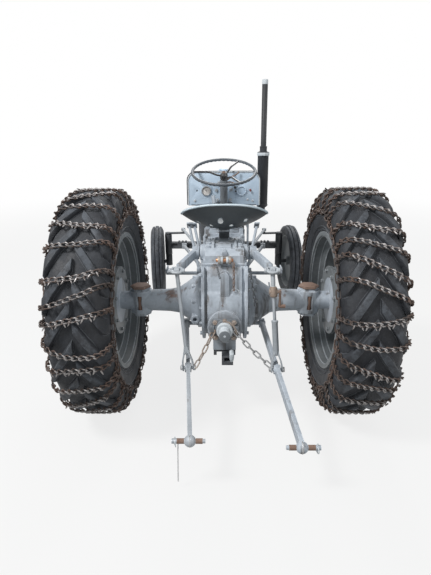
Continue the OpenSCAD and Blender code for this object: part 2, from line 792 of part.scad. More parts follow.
// Rows of the tyre from the bead to the middle: radius, half width, how far both lie in between the bars,
// and how far back the bars lie there, as a share of their spacing
tread = [[rim_r + seat_gap, rim_w / 2 - 8 - seat_gap, 0, 0, 1.05],
    [rim_r + 22, rim_w / 2 - 8 - seat_gap, 0, 0, 1.05],
    [crown[0][0], crown[0][1], 0, 0, 1.05],
    [crown[2][0], crown[2][1], lug_h * 0.8, lug_h / 2, 0.99],
    [crown[3][0], crown[3][1], lug_h, 0, 0.59],
    [crown[4][0], crown[4][1], lug_h, 0, 0.06]];
// Columns of one spacing: on a bar of the right half, of the left half, or between them
column_on = [1, 1, 0, -1, -1, 0];

// Each half has its own bars, half a spacing apart, and all of it is one closed skin
module rear_tyre(side) {
    pitch = 360 / lug_count;
    bar = lug_w / tyre_r * 180 / PI;
    column_at = [-bar / 2, bar / 2, pitch / 4, pitch / 2 - bar / 2, pitch / 2 + bar / 2, pitch * 3 / 4];
    rows = concat(tread, [for (i = [len(tread) - 1 : -1 : 0])
        [tread[i][0], -tread[i][1], tread[i][2], -tread[i][3], tread[i][4]]]);
    columns = len(column_at) * lug_count;
    function point(row, k) =
        let (c = k % len(column_at), low = column_on[c] * sign(row[1]) > 0 ? 0 : 1,
            turn = floor(k / len(column_at)) * pitch + column_at[c] + pitch * row[4],
                r = row[0] - low * row[2])
        [row[1] - low * row[3], -r * sin(turn), r * cos(turn)];
    function at(i, k) = (i % len(rows)) * columns + k % columns;
    points = [for (row = rows, k = [0 : columns - 1]) point(row, k)];
    faces = [for (i = [0 : len(rows) - 1], k = [0 : columns - 1]) each
        [[at(i, k), at(i + 1, k), at(i + 1, k + 1)], [at(i, k), at(i + 1, k + 1), at(i, k + 1)]]];
    color(rubber) at_rear_wheel(side) translate([0, 0, axle_z]) polyhedron(points, faces);
}

module tyre_chain(side) {
    inner = crown_line(seat_gap);
    outer = crown_line(seat_gap + chain_d);
    color(rust) at_rear_wheel(side) translate([0, 0, axle_z]) {
        for (i = [0 : cross_count - 1])
            rotate([90 + i * 360 / cross_count, 0, 0]) translate([0, 0,
                -chain_d / 2]) linear_extrude(chain_d)
                rotate(90) mirror([0, 1]) polygon(concat(outer, other_side(outer),
                    backwards(other_side(inner)), backwards(inner)));
        for (s = [-1, 1])
            rotate([0, 90, 0]) rotate_extrude($fn = 96)
                translate([crown[0][0] - chain_d, s * (tyre_w / 2 + seat_gap + chain_d / 2) - chain_d / 2])
                    square([chain_d + 4, chain_d]);
    }
}

clamp_count = 8;

module rear_rim(side) {
    t = 6;
    f = rim_w / 2;
    well = rim_r - 34;
    face = drum_x + drum_w - rear_track / 2;
    disc = 30;
    color(grey) at_rear_wheel(side) {
        xrevolve([0, axle_z]) {
            polygon([[rim_r + 18, -f], [rim_r + 18, -f + 8], [rim_r, -f + 8], [rim_r, -70], [well, -50],
                [well, 50], [rim_r, 70], [rim_r, f - 8], [rim_r + 18, f - 8], [rim_r + 18, f],
                [rim_r - t, f], [rim_r - t, 74], [well - t, 52], [well - t, -52], [rim_r - t, -74],
                    [rim_r - t, -f]]);
            polygon([[0, face], [110, face], [170, face + 33], [230, disc + 12], [270, disc],
                [well - 4, disc],
                [well - 4, disc + 10], [272, disc + 10], [236, disc + 24], [222, disc + 22],
                    [165, face + 43],
                [105, face + 10], [0, face + 10]]);
            polygon([[0, face - drum_w], [drum_r - 8, face - drum_w], [drum_r - 8, face - drum_w + 12],
                [drum_r, face - drum_w + 12], [drum_r, face - 2], [100, face], [0, face]]);
            polygon([[0, face + 10], [46, face + 10], [46, face + 34], [38, face + 42], [0, face + 42]]);
        }
        for (i = [0 : clamp_count - 1])
            translate([0, 0, axle_z]) rotate([(i + 0.5) * 360 / clamp_count, 0, 0])
                translate([disc + 9, -30, well - 60]) cube([20, 60, 58]);
        xrod(520 - rear_track / 2, face, [0, axle_z], shaft_r);
    }
}

// Seat, exhaust and pedals

seat_at = [0, 110, 990];
seat_back = 160;

// Height of the pan at share u of the way out and at angle a: half as high at the sides as at the back
function pan_z(u, a) = seat_back * pow(u, 2.2) * (0.5 - 0.4 * sin(a) + 0.1 * pow(sin(a), 2));
function pan_point(u, a, lift) = [seat_hw * u * cos(a), 195 * u * sin(a), pan_z(u, a) + lift];

module seat() {
    rings = 5;
    spokes = 36;
    points = concat([for (lift = [0, 4], k = [1 : rings], j = [0 : spokes - 1])
        pan_point(k / rings, j * 360 / spokes, lift)], [[0, 0, 0], [0, 0, 4]]);
    n = rings * spokes;
    function at(s, k, j) = s * n + k * spokes + j % spokes;
    faces = concat(
        [for (k = [0 : rings - 2], j = [0 : spokes - 1]) each [
            [at(0, k, j), at(0, k + 1, j), at(0, k + 1, j + 1)],
                [at(0, k, j), at(0, k + 1, j + 1), at(0, k, j + 1)],
            [at(1, k, j), at(1, k + 1, j + 1), at(1, k + 1, j)],
                [at(1, k, j), at(1, k, j + 1), at(1, k + 1, j + 1)]]],
        [for (j = [0 : spokes - 1]) each [
            [at(0, rings - 1, j), at(1, rings - 1, j), at(1, rings - 1, j + 1)],
            [at(0, rings - 1, j), at(1, rings - 1, j + 1), at(0, rings - 1, j + 1)],
            [2 * n, at(0, 0, j), at(0, 0, j + 1)], [2 * n + 1, at(1, 0, j + 1), at(1, 0, j)]]]);
    color(dark) place() translate(seat_at) polyhedron(points, faces);
}

module seat_spring() {
    y = seat_at[1];
    z = seat_at[2];
    color(grey) place() {
        side_plate(-30, 30) polygon([[y - 40, z - 12], [y - 40, z - 2], [y + 40, z - 2], [y + 60, z - 14],
            [380, 860], [500, 860], [500, housing_top], [366, housing_top], [y + 46, z - 24]]);
        translate([-30, y - 20, z - 4]) cube([60, 40, 4]);
    }
}

stack_x = 290;
stack_y = 1130;

module exhaust() {
    muffler = [936, 1339];
    collar = [4, 22];
    neck = [6, 40];
    elbow_z = 872;
    pipe_r = 24;
    log = [140, port_z];
    log_r = 28;
    port_r = 18;
    color(dark) place() {
        translate([stack_x, stack_y, 0]) difference() {
            union() {
                rotate_extrude() polygon([[0, muffler[0]], [stack_r + 4, muffler[0]],
                    [muffler_r, muffler[0] + 12],
                    [muffler_r, muffler[1] - collar[1]], [muffler_r + collar[0], muffler[1] - collar[1]],
                    [muffler_r + collar[0], muffler[1]], [stack_r + neck[0], muffler[1] + 8],
                    [stack_r + neck[0], muffler[1] + neck[1]], [stack_r, muffler[1] + neck[1] + 2],
                    [stack_r, stack_top], [0, stack_top]]);
                translate([0, 0, elbow_z]) cylinder(h = muffler[0] - elbow_z + 2, r = pipe_r);
            }
            translate([0, 0, stack_top - 150]) cylinder(h = 200, r = stack_r - 2);
        }
        rod([stack_x, stack_y, elbow_z + 12], [log[0], along(0.3), log[1]], pipe_r);
        // Manifold: a pipe along the head with a port to each cylinder
        yrod(cylinder_y[0] - 40, cylinder_y[3] + 40, log, log_r);
        for (y = cylinder_y) xrod(bulge_x + bulge_r + seat_gap, log[0], [y, log[1]], port_r);
    }
}

module pedals() {
    shaft = [600, 600];
    shaft_end = 184;
    top = [700, 880];
    lean = 62;
    pad = [34, 80, 9];
    rest = [660, 560];
    rest_end = 400;
    tread = [100, 110, 7];
    lip = [7, 110, 30];
    color(grey) place() for (s = [-1, 1]) {
        xrod(s > 0 ? gearbox_hw : -shaft_end, s > 0 ? shaft_end : -gearbox_hw, shaft, 15);
        // Clutch and one brake on the left, the other brake on the right
        for (x = s > 0 ? [160] : [138, 172]) {
            xrod(s * x - 10, s * x + 10, shaft, 24);
            rod([s * x, shaft[0] + 4, shaft[1] + 10], [s * (x + lean), top[0], top[1]], 9);
            translate([s * (x + lean), top[0] + 4, top[1] + 6]) rotate([-35, 0, 0]) cube(pad,
                center = true);
        }
        // Foot rest: a rod out from the gearbox with a turned-up plate
        xrod(s > 0 ? gearbox_hw : -rest_end, s > 0 ? rest_end : -gearbox_hw, rest, 12);
        translate([s * (rest_end - 55) - tread[0] / 2, rest[0] - 40, rest[1] + 8]) cube(tread);
        translate([s * (rest_end - 5) - lip[0] / 2, rest[0] - 40, rest[1] + 8]) cube(lip);
    }
}

// Chains from the flange of the power take-off to the lower links, and hanging at rest

link_w = 24;
link_wire = 6;
link_length = 40;
link_pitch = link_length - 2 * link_wire;

// One long link of round ends, standing up along Z from its middle
module oval_link(length) {
    half = (length - link_w) / 2;
    rotate([90, 0, 0]) translate([0, 0, -link_wire / 2]) linear_extrude(link_wire) difference() {
        union() {
            for (s = [-1, 1]) translate([0, s * half]) circle(d = link_w, $fn = 24);
            translate([-link_w / 2, -half]) square([link_w, 2 * half]);
        }
        for (s = [-1, 1]) translate([0, s * half]) circle(d = link_w - 2 * link_wire, $fn = 24);
        translate([link_wire - link_w / 2, -half]) square([link_w - 2 * link_wire, 2 * half]);
    }
}

// Links from a down to b, with a little slack, each turned a quarter against the last and bearing on it
module link_chain(a, b, sag) {
    count = round(norm(b - a) / link_pitch);
    function at(u) = a + (b - a) * u - [0, 0, sag * sin(180 * u)];
    for (i = [0 : count - 1]) {
        p = at(i / count);
        q = at((i + 1) / count);
        d = (q - p) / norm(q - p);
        translate((p + q) / 2) rotate([0, acos(d[2]), atan2(d[1], d[0])]) rotate([0, 0, 90 * (i % 2)])
            oval_link(norm(q - p) + 2 * link_wire - 1.6);
    }
}

module check_chains() {
    color(rust) place() for (side = [[-1, -141, 17.9], [1, 219, 19]])
        link_chain([side[0] * 62, pto_face - 36, pto_z - side[2]], [side[1], -306, 378], 12);
}

// Bonnet, which tips forward with the grille

bonnet_rear = scuttle_end + 6;
skirt_z = 930;
grille_low = 690;

module bonnet_outline(g) {
    r = 95;
    translate([-bonnet_hw + g, 650]) square([2 * (bonnet_hw - g), bonnet_top - 650 - r]);
    translate([-bonnet_hw + r, 650]) square([2 * (bonnet_hw - r), bonnet_top - 650 - g]);
    for (s = [-1, 1]) translate([s * (bonnet_hw - r), bonnet_top - r]) circle(r = r - g);
}

nose_r = 84;

// Side view of the bonnet, g inside its skin and reaching out in front
module bonnet_side(g, reach) {
    translate([bonnet_rear - 1, 600]) square([nose_y + reach - bonnet_rear + 1, bonnet_top - nose_r - 600]);
    translate([bonnet_rear - 1, 600]) square([nose_y - nose_r - bonnet_rear + 1, bonnet_top - g - 600]);
    translate([nose_y - nose_r, bonnet_top - nose_r]) circle(r = nose_r - g, $fn = 96);
}

module bonnet_form(g, reach) {
    intersection() {
        translate([0, nose_y + 10, 0]) rotate([90, 0, 0]) linear_extrude(nose_y + 10 - bonnet_rear)
            bonnet_outline(g);
        side_plate(-300, 300) bonnet_side(g, reach);
    }
}

module bonnet() {
    color(pale) place() difference() {
        bonnet_form(0, 0);
        bonnet_form(sheet_t, 20);
        translate([-300, bonnet_rear - 10, 600]) cube([600, 1000, 51]);
        side_plate(-300, 300) polygon([[bonnet_rear - 50, 600], [bonnet_rear - 50, skirt_z],
            [nose_y - 218, skirt_z],
            [nose_y - 168, 860], [nose_y - 168, 600]]);
    }
}

module grille() {
    bars = 15;
    edge = 24;
    plate_t = 16;
    w = bonnet_hw - sheet_t - 1;
    top = bonnet_top - nose_r - 1;
    open_w = 2 * (w - edge);
    color(pale) place() {
        difference() {
            translate([0, nose_y - 2, 0]) rotate([90, 0, 0]) linear_extrude(plate_t) intersection() {
                bonnet_outline(sheet_t + seat_gap);
                translate([-300, grille_low]) square([600, top - grille_low]);
            }
            for (s = [-1, 1])
                translate([s > 0 ? 9 : -w + edge, nose_y - 30, grille_low + edge])
                    cube([w - edge - 9, 40, top - grille_low - 2 * edge]);
        }
        for (i = [0 : bars - 1])
            if (abs(i - (bars - 1) / 2) > 0.6)
                translate([-w + edge + (i + 0.5) * open_w / bars - 3.5, nose_y - 15, grille_low + edge - 2])
                    cube([7, 11, top - grille_low - 2 * edge + 4]);
        for (s = [-1, 1]) difference() {
            side_plate(s > 0 ? 155 : -167, s > 0 ? 167 : -155) {
                translate(hinge) circle(r = 15);
                polygon([[hinge[0], hinge[1] - 11], [nose_y - 4, hinge[1] - 11],
                    [nose_y - 4, grille_low + 6],
                    [hinge[0] - 4, grille_low + 6]]);
            }
            xrod(-200, 200, hinge, 8 + run_fit);
        }
    }
}

// Rear lift

module lift_arms() {
    color(grey) place() difference() {
        union() {
            xrod(-168, 168, cross_shaft, cross_r);
            for (s = [-1, 1]) {
                xrod(s > 0 ? 136 : -172, s > 0 ? 172 : -136, cross_shaft, 36);
                strut([s * 156, cross_shaft[0], cross_shaft[1]],
                    [s * (arm_x - 3), arm_end[0] + 14, arm_end[1] + 2],
                    22, 44);
                xrod(s * arm_x - 13, s * arm_x + 13, arm_end, 26);
            }
        }
        xrod(-300, 300, arm_end, 10 + run_fit);
    }
}

function link_point(i, u) = [(i == 0 ? -1 : 1) * pivot_x, pivot[0], pivot[1]] * (1 - u) + link_ends[i] * u;

fork_gap = 23;
fork_t = 12;

module lift_rod(i) {
    s = i == 0 ? -1 : 1;
    top = [s * arm_x, arm_end[0], arm_end[1]];
    low = link_point(i, rod_share);
    d = (low - top) / norm(low - top);
    yoke = low - 95 * d;
    crank_x = top[0] + 44;
    crank_y = arm_end[0] - 6;
    color(pale) place() difference() {
        union() {
            xrod(top[0] - 40, top[0] + 40, arm_end, 10);
            for (x = [-38, 24]) translate([top[0] + x, 0, 0]) {
                xrod(0, 14, arm_end, 22);
                translate([0, arm_end[0] - 14, arm_end[1] - 60]) cube([14, 28, 60]);
            }
            translate([top[0] - 38, arm_end[0] - 16, arm_end[1] - 76]) cube([76, 32, 30]);
            rod(top + 60 * d, yoke, i == 0 ? 11 : 10);
            translate([yoke[0], yoke[1], yoke[2]]) rotate([0, acos(d[2]), atan2(d[1], d[0])])
                translate([0, 0, -12]) cylinder(h = 34, r = 26);
            if (i == 1) {
                translate([top[0] - 30, arm_end[0] - 30, arm_end[1] - 140]) cube([60, 60, 66]);
                // Levelling crank beside its box
                xrod(top[0] + 20, crank_x + 12, [crank_y, arm_end[1] - 104], 13);
                translate([crank_x, crank_y - 9, arm_end[1] - 190]) cube([12, 18, 90]);
                xrod(crank_x, crank_x + 52, [crank_y, arm_end[1] - 182], 10);
                rod(low - 230 * d, yoke, 17);
            }
            for (x = [-fork_gap - fork_t, fork_gap])
                translate([low[0] + x, 0, 0]) {
                    xrod(0, fork_t, [low[1], low[2]], 22);
                    side_plate(0, fork_t) polygon([[low[1] - 14, low[2]], [low[1] + 14, low[2]],
                        [yoke[1] + 16, yoke[2]], [yoke[1] - 16, yoke[2]]]);
                }
            translate([low[0] - fork_gap - fork_t, yoke[1] - 16, yoke[2] - 10])
                cube([2 * (fork_gap + fork_t), 32, 24]);
        }
        xrod(low[0] - 60, low[0] + 60, [low[1], low[2]], 11);
    }
}

module lower_link(i) {
    s = i == 0 ? -1 : 1;
    front = link_point(i, 0);
    eye = link_point(i, rod_share);
    end = link_ends[i];
    pin_out = 78;
    pin_in = 66;
    color(grey) place() difference() {
        union() {
            xrod(front[0] - 15, front[0] + 15, pivot, 27);
            strut(link_point(i, 0.02), link_point(i, 0.99), 20, link_h);
            xrod(eye[0] - 16, eye[0] + 16, [eye[1], eye[2]], 24);
            xrod(eye[0] - 21, eye[0] + 21, [eye[1], eye[2]], 9);
            translate(end) rotate([0, 0, -90]) sphere(r = ball_r);
            xrod(end[0] - (s > 0 ? 0 : pin_out), end[0] + (s > 0 ? pin_out : 0), [end[1], end[2]],
                link_pin_d / 2);
            xrod(end[0] - (s > 0 ? pin_in : 0), end[0] + (s > 0 ? 0 : pin_in), [end[1], end[2]],
                link_pin_d / 2 - 1.5);
        }
        xrod(front[0] - 30, front[0] + 30, pivot, 12 + run_fit);
    }
}

centre_housing();
lift_cover();
top_link_rocker();
axle_housing(-1);  // axle_housing_left
axle_housing(1);  // axle_housing_right
pto_housing();
rear_hitch();
gearbox();
engine();
radiator();
front_support();
front_axle();
radius_rods();
dash();
fuel_tank();
steering_column();
seat();
seat_spring();
exhaust();
pedals();
check_chains();
bonnet();
grille();
steering_wheel();
rear_tyre(-1);  // rear_tyre_left
rear_tyre(1);  // rear_tyre_right
tyre_chain(-1);  // tyre_chain_left
tyre_chain(1);  // tyre_chain_right
rear_rim(-1);  // rear_rim_left
rear_rim(1);  // rear_rim_right
front_tyre(-1);  // front_tyre_left
front_tyre(1);  // front_tyre_right
front_rim(-1);  // front_rim_left
front_rim(1);  // front_rim_right
knuckle(-1);  // knuckle_left
knuckle(1);  // knuckle_right
drop_arm(-1);  // drop_arm_left
drop_arm(1);  // drop_arm_right
drag_link(-1);  // drag_link_left
drag_link(1);  // drag_link_right
lift_arms();
lift_rod(0);  // lift_rod_left
lift_rod(1);  // lift_rod_right
lower_link(0);  // lower_link_left
lower_link(1);  // lower_link_right
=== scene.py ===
"""Looks of a light vintage farm tractor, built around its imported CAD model.

Lengths in the classes are millimetres. Places are x to the right, y forward from the rear axle and
z up from the ground, as in the model's source, and Shape turns them into the frame's metres.
"""
from __future__ import annotations

import json
import logging
import math
import random
import sys
from dataclasses import dataclass
from enum import Enum
from typing import Sequence

import bmesh
import bpy
from mathutils import Matrix, Vector

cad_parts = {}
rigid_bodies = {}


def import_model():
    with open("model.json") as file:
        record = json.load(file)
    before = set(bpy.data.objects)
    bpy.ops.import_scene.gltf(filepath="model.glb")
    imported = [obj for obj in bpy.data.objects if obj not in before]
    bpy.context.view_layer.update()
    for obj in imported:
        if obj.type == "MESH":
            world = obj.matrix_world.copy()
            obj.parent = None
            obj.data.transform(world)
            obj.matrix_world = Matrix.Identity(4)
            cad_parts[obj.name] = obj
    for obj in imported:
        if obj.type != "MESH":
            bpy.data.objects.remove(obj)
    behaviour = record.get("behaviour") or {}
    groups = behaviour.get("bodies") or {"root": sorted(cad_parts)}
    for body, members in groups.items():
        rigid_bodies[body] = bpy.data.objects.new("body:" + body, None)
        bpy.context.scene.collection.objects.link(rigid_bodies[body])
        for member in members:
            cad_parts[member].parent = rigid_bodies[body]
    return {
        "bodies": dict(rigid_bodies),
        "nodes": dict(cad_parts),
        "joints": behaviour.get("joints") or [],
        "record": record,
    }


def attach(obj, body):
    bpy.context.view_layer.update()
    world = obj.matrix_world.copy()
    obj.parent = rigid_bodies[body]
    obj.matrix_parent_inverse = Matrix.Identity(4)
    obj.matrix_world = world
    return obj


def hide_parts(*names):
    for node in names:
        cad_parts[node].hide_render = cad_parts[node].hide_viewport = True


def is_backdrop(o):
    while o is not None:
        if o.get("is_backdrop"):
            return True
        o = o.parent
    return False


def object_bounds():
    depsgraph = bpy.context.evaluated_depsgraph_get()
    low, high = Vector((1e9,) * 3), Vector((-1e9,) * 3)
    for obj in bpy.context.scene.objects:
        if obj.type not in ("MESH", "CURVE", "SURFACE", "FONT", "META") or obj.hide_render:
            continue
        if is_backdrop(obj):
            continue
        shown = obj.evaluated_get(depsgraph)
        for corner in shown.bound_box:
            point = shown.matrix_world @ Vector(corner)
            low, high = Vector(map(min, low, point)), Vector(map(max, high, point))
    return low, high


LOG = logging.getLogger("tractor")
MM = 0.001
Point = Sequence[float]
Colour = tuple[float, float, float]
Profile = Sequence[tuple[float, float]]
Spots = Sequence[tuple[Point, Point]]
Mark = tuple[float, float, float, float]
HANDS = (-1, 1)
ACROSS: Point = (1, 0, 0)
FORE: Point = (0, 1, 0)
AFT: Point = (0, -1, 0)
UP: Point = (0, 0, 1)
# Points of a new shape meet within MERGE millimetres, and those of a CAD node within CAD_MERGE metres
MERGE = 0.005
CAD_MERGE = 0.00002


class Side(Enum):
    """The tractor's two sides, with the sign of x."""

    LEFT = -1
    RIGHT = 1

    @property
    def word(self) -> str:
        """The side's name as the nodes are named."""
        return self.name.lower()


def turns(count: int, start: float = 0.0) -> list[float]:
    """Angles evenly round a circle, the first of them a share of a step on from zero."""
    return [2 * math.pi * (k + start) / count for k in range(count)]


def metres(place: Point) -> tuple[float, float, float]:
    """A place in millimetres as the frame's metres."""
    return (place[0] * MM, place[1] * MM + Shape.axle_y, place[2] * MM)


def bead(radius: float, thick: float, along: float = 0.0, steps: int = 6,
         deep: float | None = None) -> Profile:
    """The profile of a ring, round or with its own thickness along the axis."""
    return [(radius + thick * math.cos(a), along + (deep or thick) * math.sin(a)) for a in turns(steps)]


def drum(radius: float, half: float, flat: float = 2.0, deep: float = 2.0) -> Profile:
    """The profile of a drum whose ends have a bevel, flat off its radius and deep off its length."""
    end = [(0, half), (radius - flat, half), (radius, half - deep)]
    return [(r, -x) for r, x in end] + end[::-1]


# Node trees


class Sock:
    """A node socket that adds Math nodes to its tree when it is used in arithmetic."""

    def __init__(self, tree: "Tree", socket: bpy.types.NodeSocket) -> None:
        """Wraps one output socket of a tree."""
        self.tree = tree
        self.socket = socket

    def __add__(self, other: "Sock | float") -> "Sock":
        """Sum."""
        return self.tree.math("ADD", self, other)

    __radd__ = __add__

    def __sub__(self, other: "Sock | float") -> "Sock":
        """Difference."""
        return self.tree.math("SUBTRACT", self, other)

    def __rsub__(self, other: "Sock | float") -> "Sock":
        """Difference from a number."""
        return self.tree.math("SUBTRACT", other, self)

    def __mul__(self, other: "Sock | float") -> "Sock":
        """Product."""
        return self.tree.math("MULTIPLY", self, other)

    __rmul__ = __mul__

    def __truediv__(self, other: "Sock | float") -> "Sock":
        """Quotient."""
        return self.tree.math("DIVIDE", self, other)

    def __rtruediv__(self, other: "Sock | float") -> "Sock":
        """Quotient of a number."""
        return self.tree.math("DIVIDE", other, self)

    def __mod__(self, other: "Sock | float") -> "Sock":
        """Remainder."""
        return self.tree.math("MODULO", self, other)

    def __rmod__(self, other: "Sock | float") -> "Sock":
        """Remainder of a number."""
        return self.tree.math("MODULO", other, self)

    def clamped(self) -> "Sock":
        """The value held between 0 and 1."""
        return self.tree.math("ADD", self, 0.0, clamp=True)


class Tree:
    """A node tree that is written as expressions."""

    def __init__(self, tree: bpy.types.NodeTree) -> None:
        """Empties the tree that nodes are added to."""
        self.tree = tree
        self.tree.nodes.clear()

    def node(self, kind: str, settings: dict | None = None, inputs: dict | None = None) -> bpy.types.Node:
        """Adds a node.

        Args:
            kind: Blender's type name of the node.
            settings: attributes, which are set first.
            inputs: values, Socks, or nodes for their first output, by socket name or number.

        Returns:
            The new node.
        """
        node = self.tree.nodes.new(kind)
        for key, value in (settings or {}).items():
            setattr(node, key, value)
        for key, value in (inputs or {}).items():
            socket = node.inputs[key]
            if isinstance(value, Sock):
                self.tree.links.new(value.socket, socket)
            elif isinstance(value, bpy.types.Node):
                self.tree.links.new(value.outputs[0], socket)
            elif socket.type == "RGBA" and len(value) == 3:
                socket.default_value = (*value, 1.0)
            else:
                socket.default_value = value
        return node

    def out(self, node: bpy.types.Node, key: str | int = 0) -> Sock:
        """One output of a node."""
        return Sock(self, node.outputs[key])

    def math(self, operation: str, a: Sock | float, b: Sock | float = 0.0, clamp: bool = False) -> Sock:
        """A Math node."""
        settings = {"operation": operation, "use_clamp": clamp}
        return self.out(self.node("ShaderNodeMath", settings, {0: a, 1: b}))

    def seen(self) -> Sock:
        """1 for what the camera sees, directly or in a reflection."""
        path = self.node("ShaderNodeLightPath")
        return self.math("MAXIMUM", self.out(path, "Is Camera Ray"), self.out(path, "Is Glossy Ray"))


class Shade(Tree):
    """A material whose node tree is written as expressions."""

    def __init__(self, name: str) -> None:
        """Starts an empty material.

        Args:
            name: name of the material.
        """
        self.material = bpy.data.materials.new(name)
        self.material.use_nodes = True
        super().__init__(self.material.node_tree)

    def blend(self, share: Sock | float, a: Sock | Colour, b: Sock | Colour) -> Sock:
        """Mixes two colours by a share."""
        return self.out(self.node("ShaderNodeMix", {"data_type": "RGBA"}, {0: share, 6: a, 7: b}), 2)

    def place(self, scale: Point = (1, 1, 1), shift: Point = (0, 0, 0)) -> Sock:
        """Object coordinates, scaled and moved."""
        coordinates = self.out(self.node("ShaderNodeTexCoord"), "Object")
        return self.out(self.node("ShaderNodeMapping", None, {
            "Vector": coordinates, "Scale": scale, "Location": shift}))

    def noise(self, scale: float, detail: float = 4.0, rough: float = 0.6, stretch: Point = (1, 1, 1),
              shift: Point = (0, 0, 0)) -> Sock:
        """Noise of about 0.3 to 0.7 on Object coordinates."""
        place = self.place(stretch, shift=shift)
        return self.out(self.node("ShaderNodeTexNoise", None, {
            "Vector": place, "Scale": scale, "Detail": detail, "Roughness": rough}))

    def mask(self, value: Sock, low: float, high: float) -> Sock:
        """0 below low and 1 above high, smooth between; low may be the larger."""
        return self.out(self.node("ShaderNodeMapRange", {"interpolation_type": "SMOOTHSTEP"}, {
            "Value": value, "From Min": low, "From Max": high, "To Min": 0.0, "To Max": 1.0}))

    def edges(self, radius: float) -> Sock:
        """About 1 on sharp edges and 0 elsewhere.

        Args:
            radius: how far from an edge it is felt, in metres.

        Returns:
            The mask.
        """
        bevel = self.node("ShaderNodeBevel", {"samples": 4}, {"Radius": radius})
        flat = self.out(self.node("ShaderNodeNewGeometry"), "Normal")
        dot = self.node("ShaderNodeVectorMath", {"operation": "DOT_PRODUCT"}, {0: bevel, 1: flat})
        return self.mask(self.out(dot, "Value"), 0.985, 0.88)

    def length(self, vector: Sock) -> Sock:
        """The length of a vector."""
        return self.out(self.node("ShaderNodeVectorMath", {"operation": "LENGTH"}, {0: vector}), "Value")

    def from_axle(self, axle: tuple[float, float]) -> Sock:
        """The distance from an axle along X, whose y and z are in metres."""
        return self.length(self.place((0, 1, 1), shift=(0, -axle[0], -axle[1])))

    def bump(self, height: Sock, strength: float, distance: float) -> Sock:
        """A normal from a height."""
        return self.out(self.node("ShaderNodeBump", None, {
            "Height": height, "Strength": strength, "Distance": distance}))

    def ended(self, shader: bpy.types.Node) -> bpy.types.Material:
        """Ends the tree in a shader."""
        self.node("ShaderNodeOutputMaterial", None, {0: shader})
        return self.material

    def surface(self, **inputs: Sock | float | Colour) -> bpy.types.Material:
        """Ends the tree in a Principled BSDF, with sockets named with _ for spaces."""
        named = {key.replace("_", " "): value for key, value in inputs.items()}
        return self.ended(self.node("ShaderNodeBsdfPrincipled", None, named))


@dataclass(frozen=True)
class Weathered:
    """A hard finish that has aged: soft changes, patches, streaks that run down, and pale edges that are
    partly worn paint and partly a painted highlight.

    A mark, a stain or a dark mark of dirt and painted shade, is a place and a reach in metres.
    """

    name: str
    base: Colour
    second: Colour
    patch: Colour = (0.150, 0.062, 0.028)
    patch_cover: float = 0.2
    patch_scale: float = 9.0
    streak: Colour = (0.120, 0.085, 0.060)
    streak_cover: float = 0.3
    edge: Colour = (0.42, 0.43, 0.44)
    edge_share: float = 0.5
    edge_radius: float = 0.004
    roughness: tuple[float, float] = (0.45, 0.75)
    metallic: float = 0.0
    grain: float = 0.15
    stains: tuple[Mark, ...] = ()
    grime: tuple[Mark, ...] = ()

    def material(self) -> bpy.types.Material:
        """Builds the material.

        Returns:
            The material.
        """
        s = Shade(self.name)
        soft = s.mask(s.noise(3.5, 5.0), 0.35, 0.65)
        fine = s.noise(60.0, 3.0, shift=(1.7, 0.3, 0.9))
        colour = s.blend((soft * 0.75 + s.mask(fine, 0.3, 0.7) * 0.25).clamped(), self.base, self.second)
        runs = s.noise(14.0, 4.0, stretch=(1.6, 1.6, 0.12), shift=(0.4, 2.1, 0.2))
        run_mask = s.mask(runs, 0.66 - 0.2 * self.streak_cover, 0.78 - 0.1 * self.streak_cover)
        colour = s.blend((run_mask * (0.35 + 0.65 * self.streak_cover)).clamped(), colour, self.streak)
        spots = s.noise(self.patch_scale, 9.0, 0.72, shift=(3.1, 1.2, 5.3))
        low = 0.74 - 0.3 * self.patch_cover
        patches = s.mask(spots, low, low + 0.07)
        pits = s.noise(180.0, 4.0)
        rust = s.blend(s.mask(pits, 0.35, 0.65), self.patch, tuple(0.5 * c for c in self.patch))
        colour = s.blend(patches, colour, rust)
        uneven = (s.noise(24.0, 7.0, 0.7) - 0.5) * 0.16
        stain = s.blend(s.mask(pits, 0.35, 0.65), self.patch, self.streak)
        marks = [(place, 0.9, stain) for place in self.stains]
        marks += [(place, 0.55, self.streak) for place in self.grime]
        for (x, y, z, reach), share, tone in marks:
            away = s.length(s.place(shift=(-x, -y, -z)))
            colour = s.blend(s.mask(away + uneven, reach, reach * 0.35) * share, colour, tone)
        # Sharp edges turn pale: worn paint, together with a painted highlight along the edges.
        worn = s.edges(self.edge_radius) * s.mask(s.noise(32.0, 4.0, shift=(7, 2, 4)), 0.32, 0.6)
        colour = s.blend((worn * self.edge_share).clamped(), colour, self.edge)
        low_r, high_r = self.roughness
        rough = (soft * (high_r - low_r) + low_r + patches * (0.9 - high_r)).clamped()
        height = pits * (patches * 0.9 + 0.1 + self.grain) + fine * self.grain
        metallic = (self.metallic * (1.0 - patches)).clamped()
        return s.surface(Base_Color=colour, Roughness=rough, Metallic=metallic,
                         Normal=s.bump(height, 0.35, 0.0015))


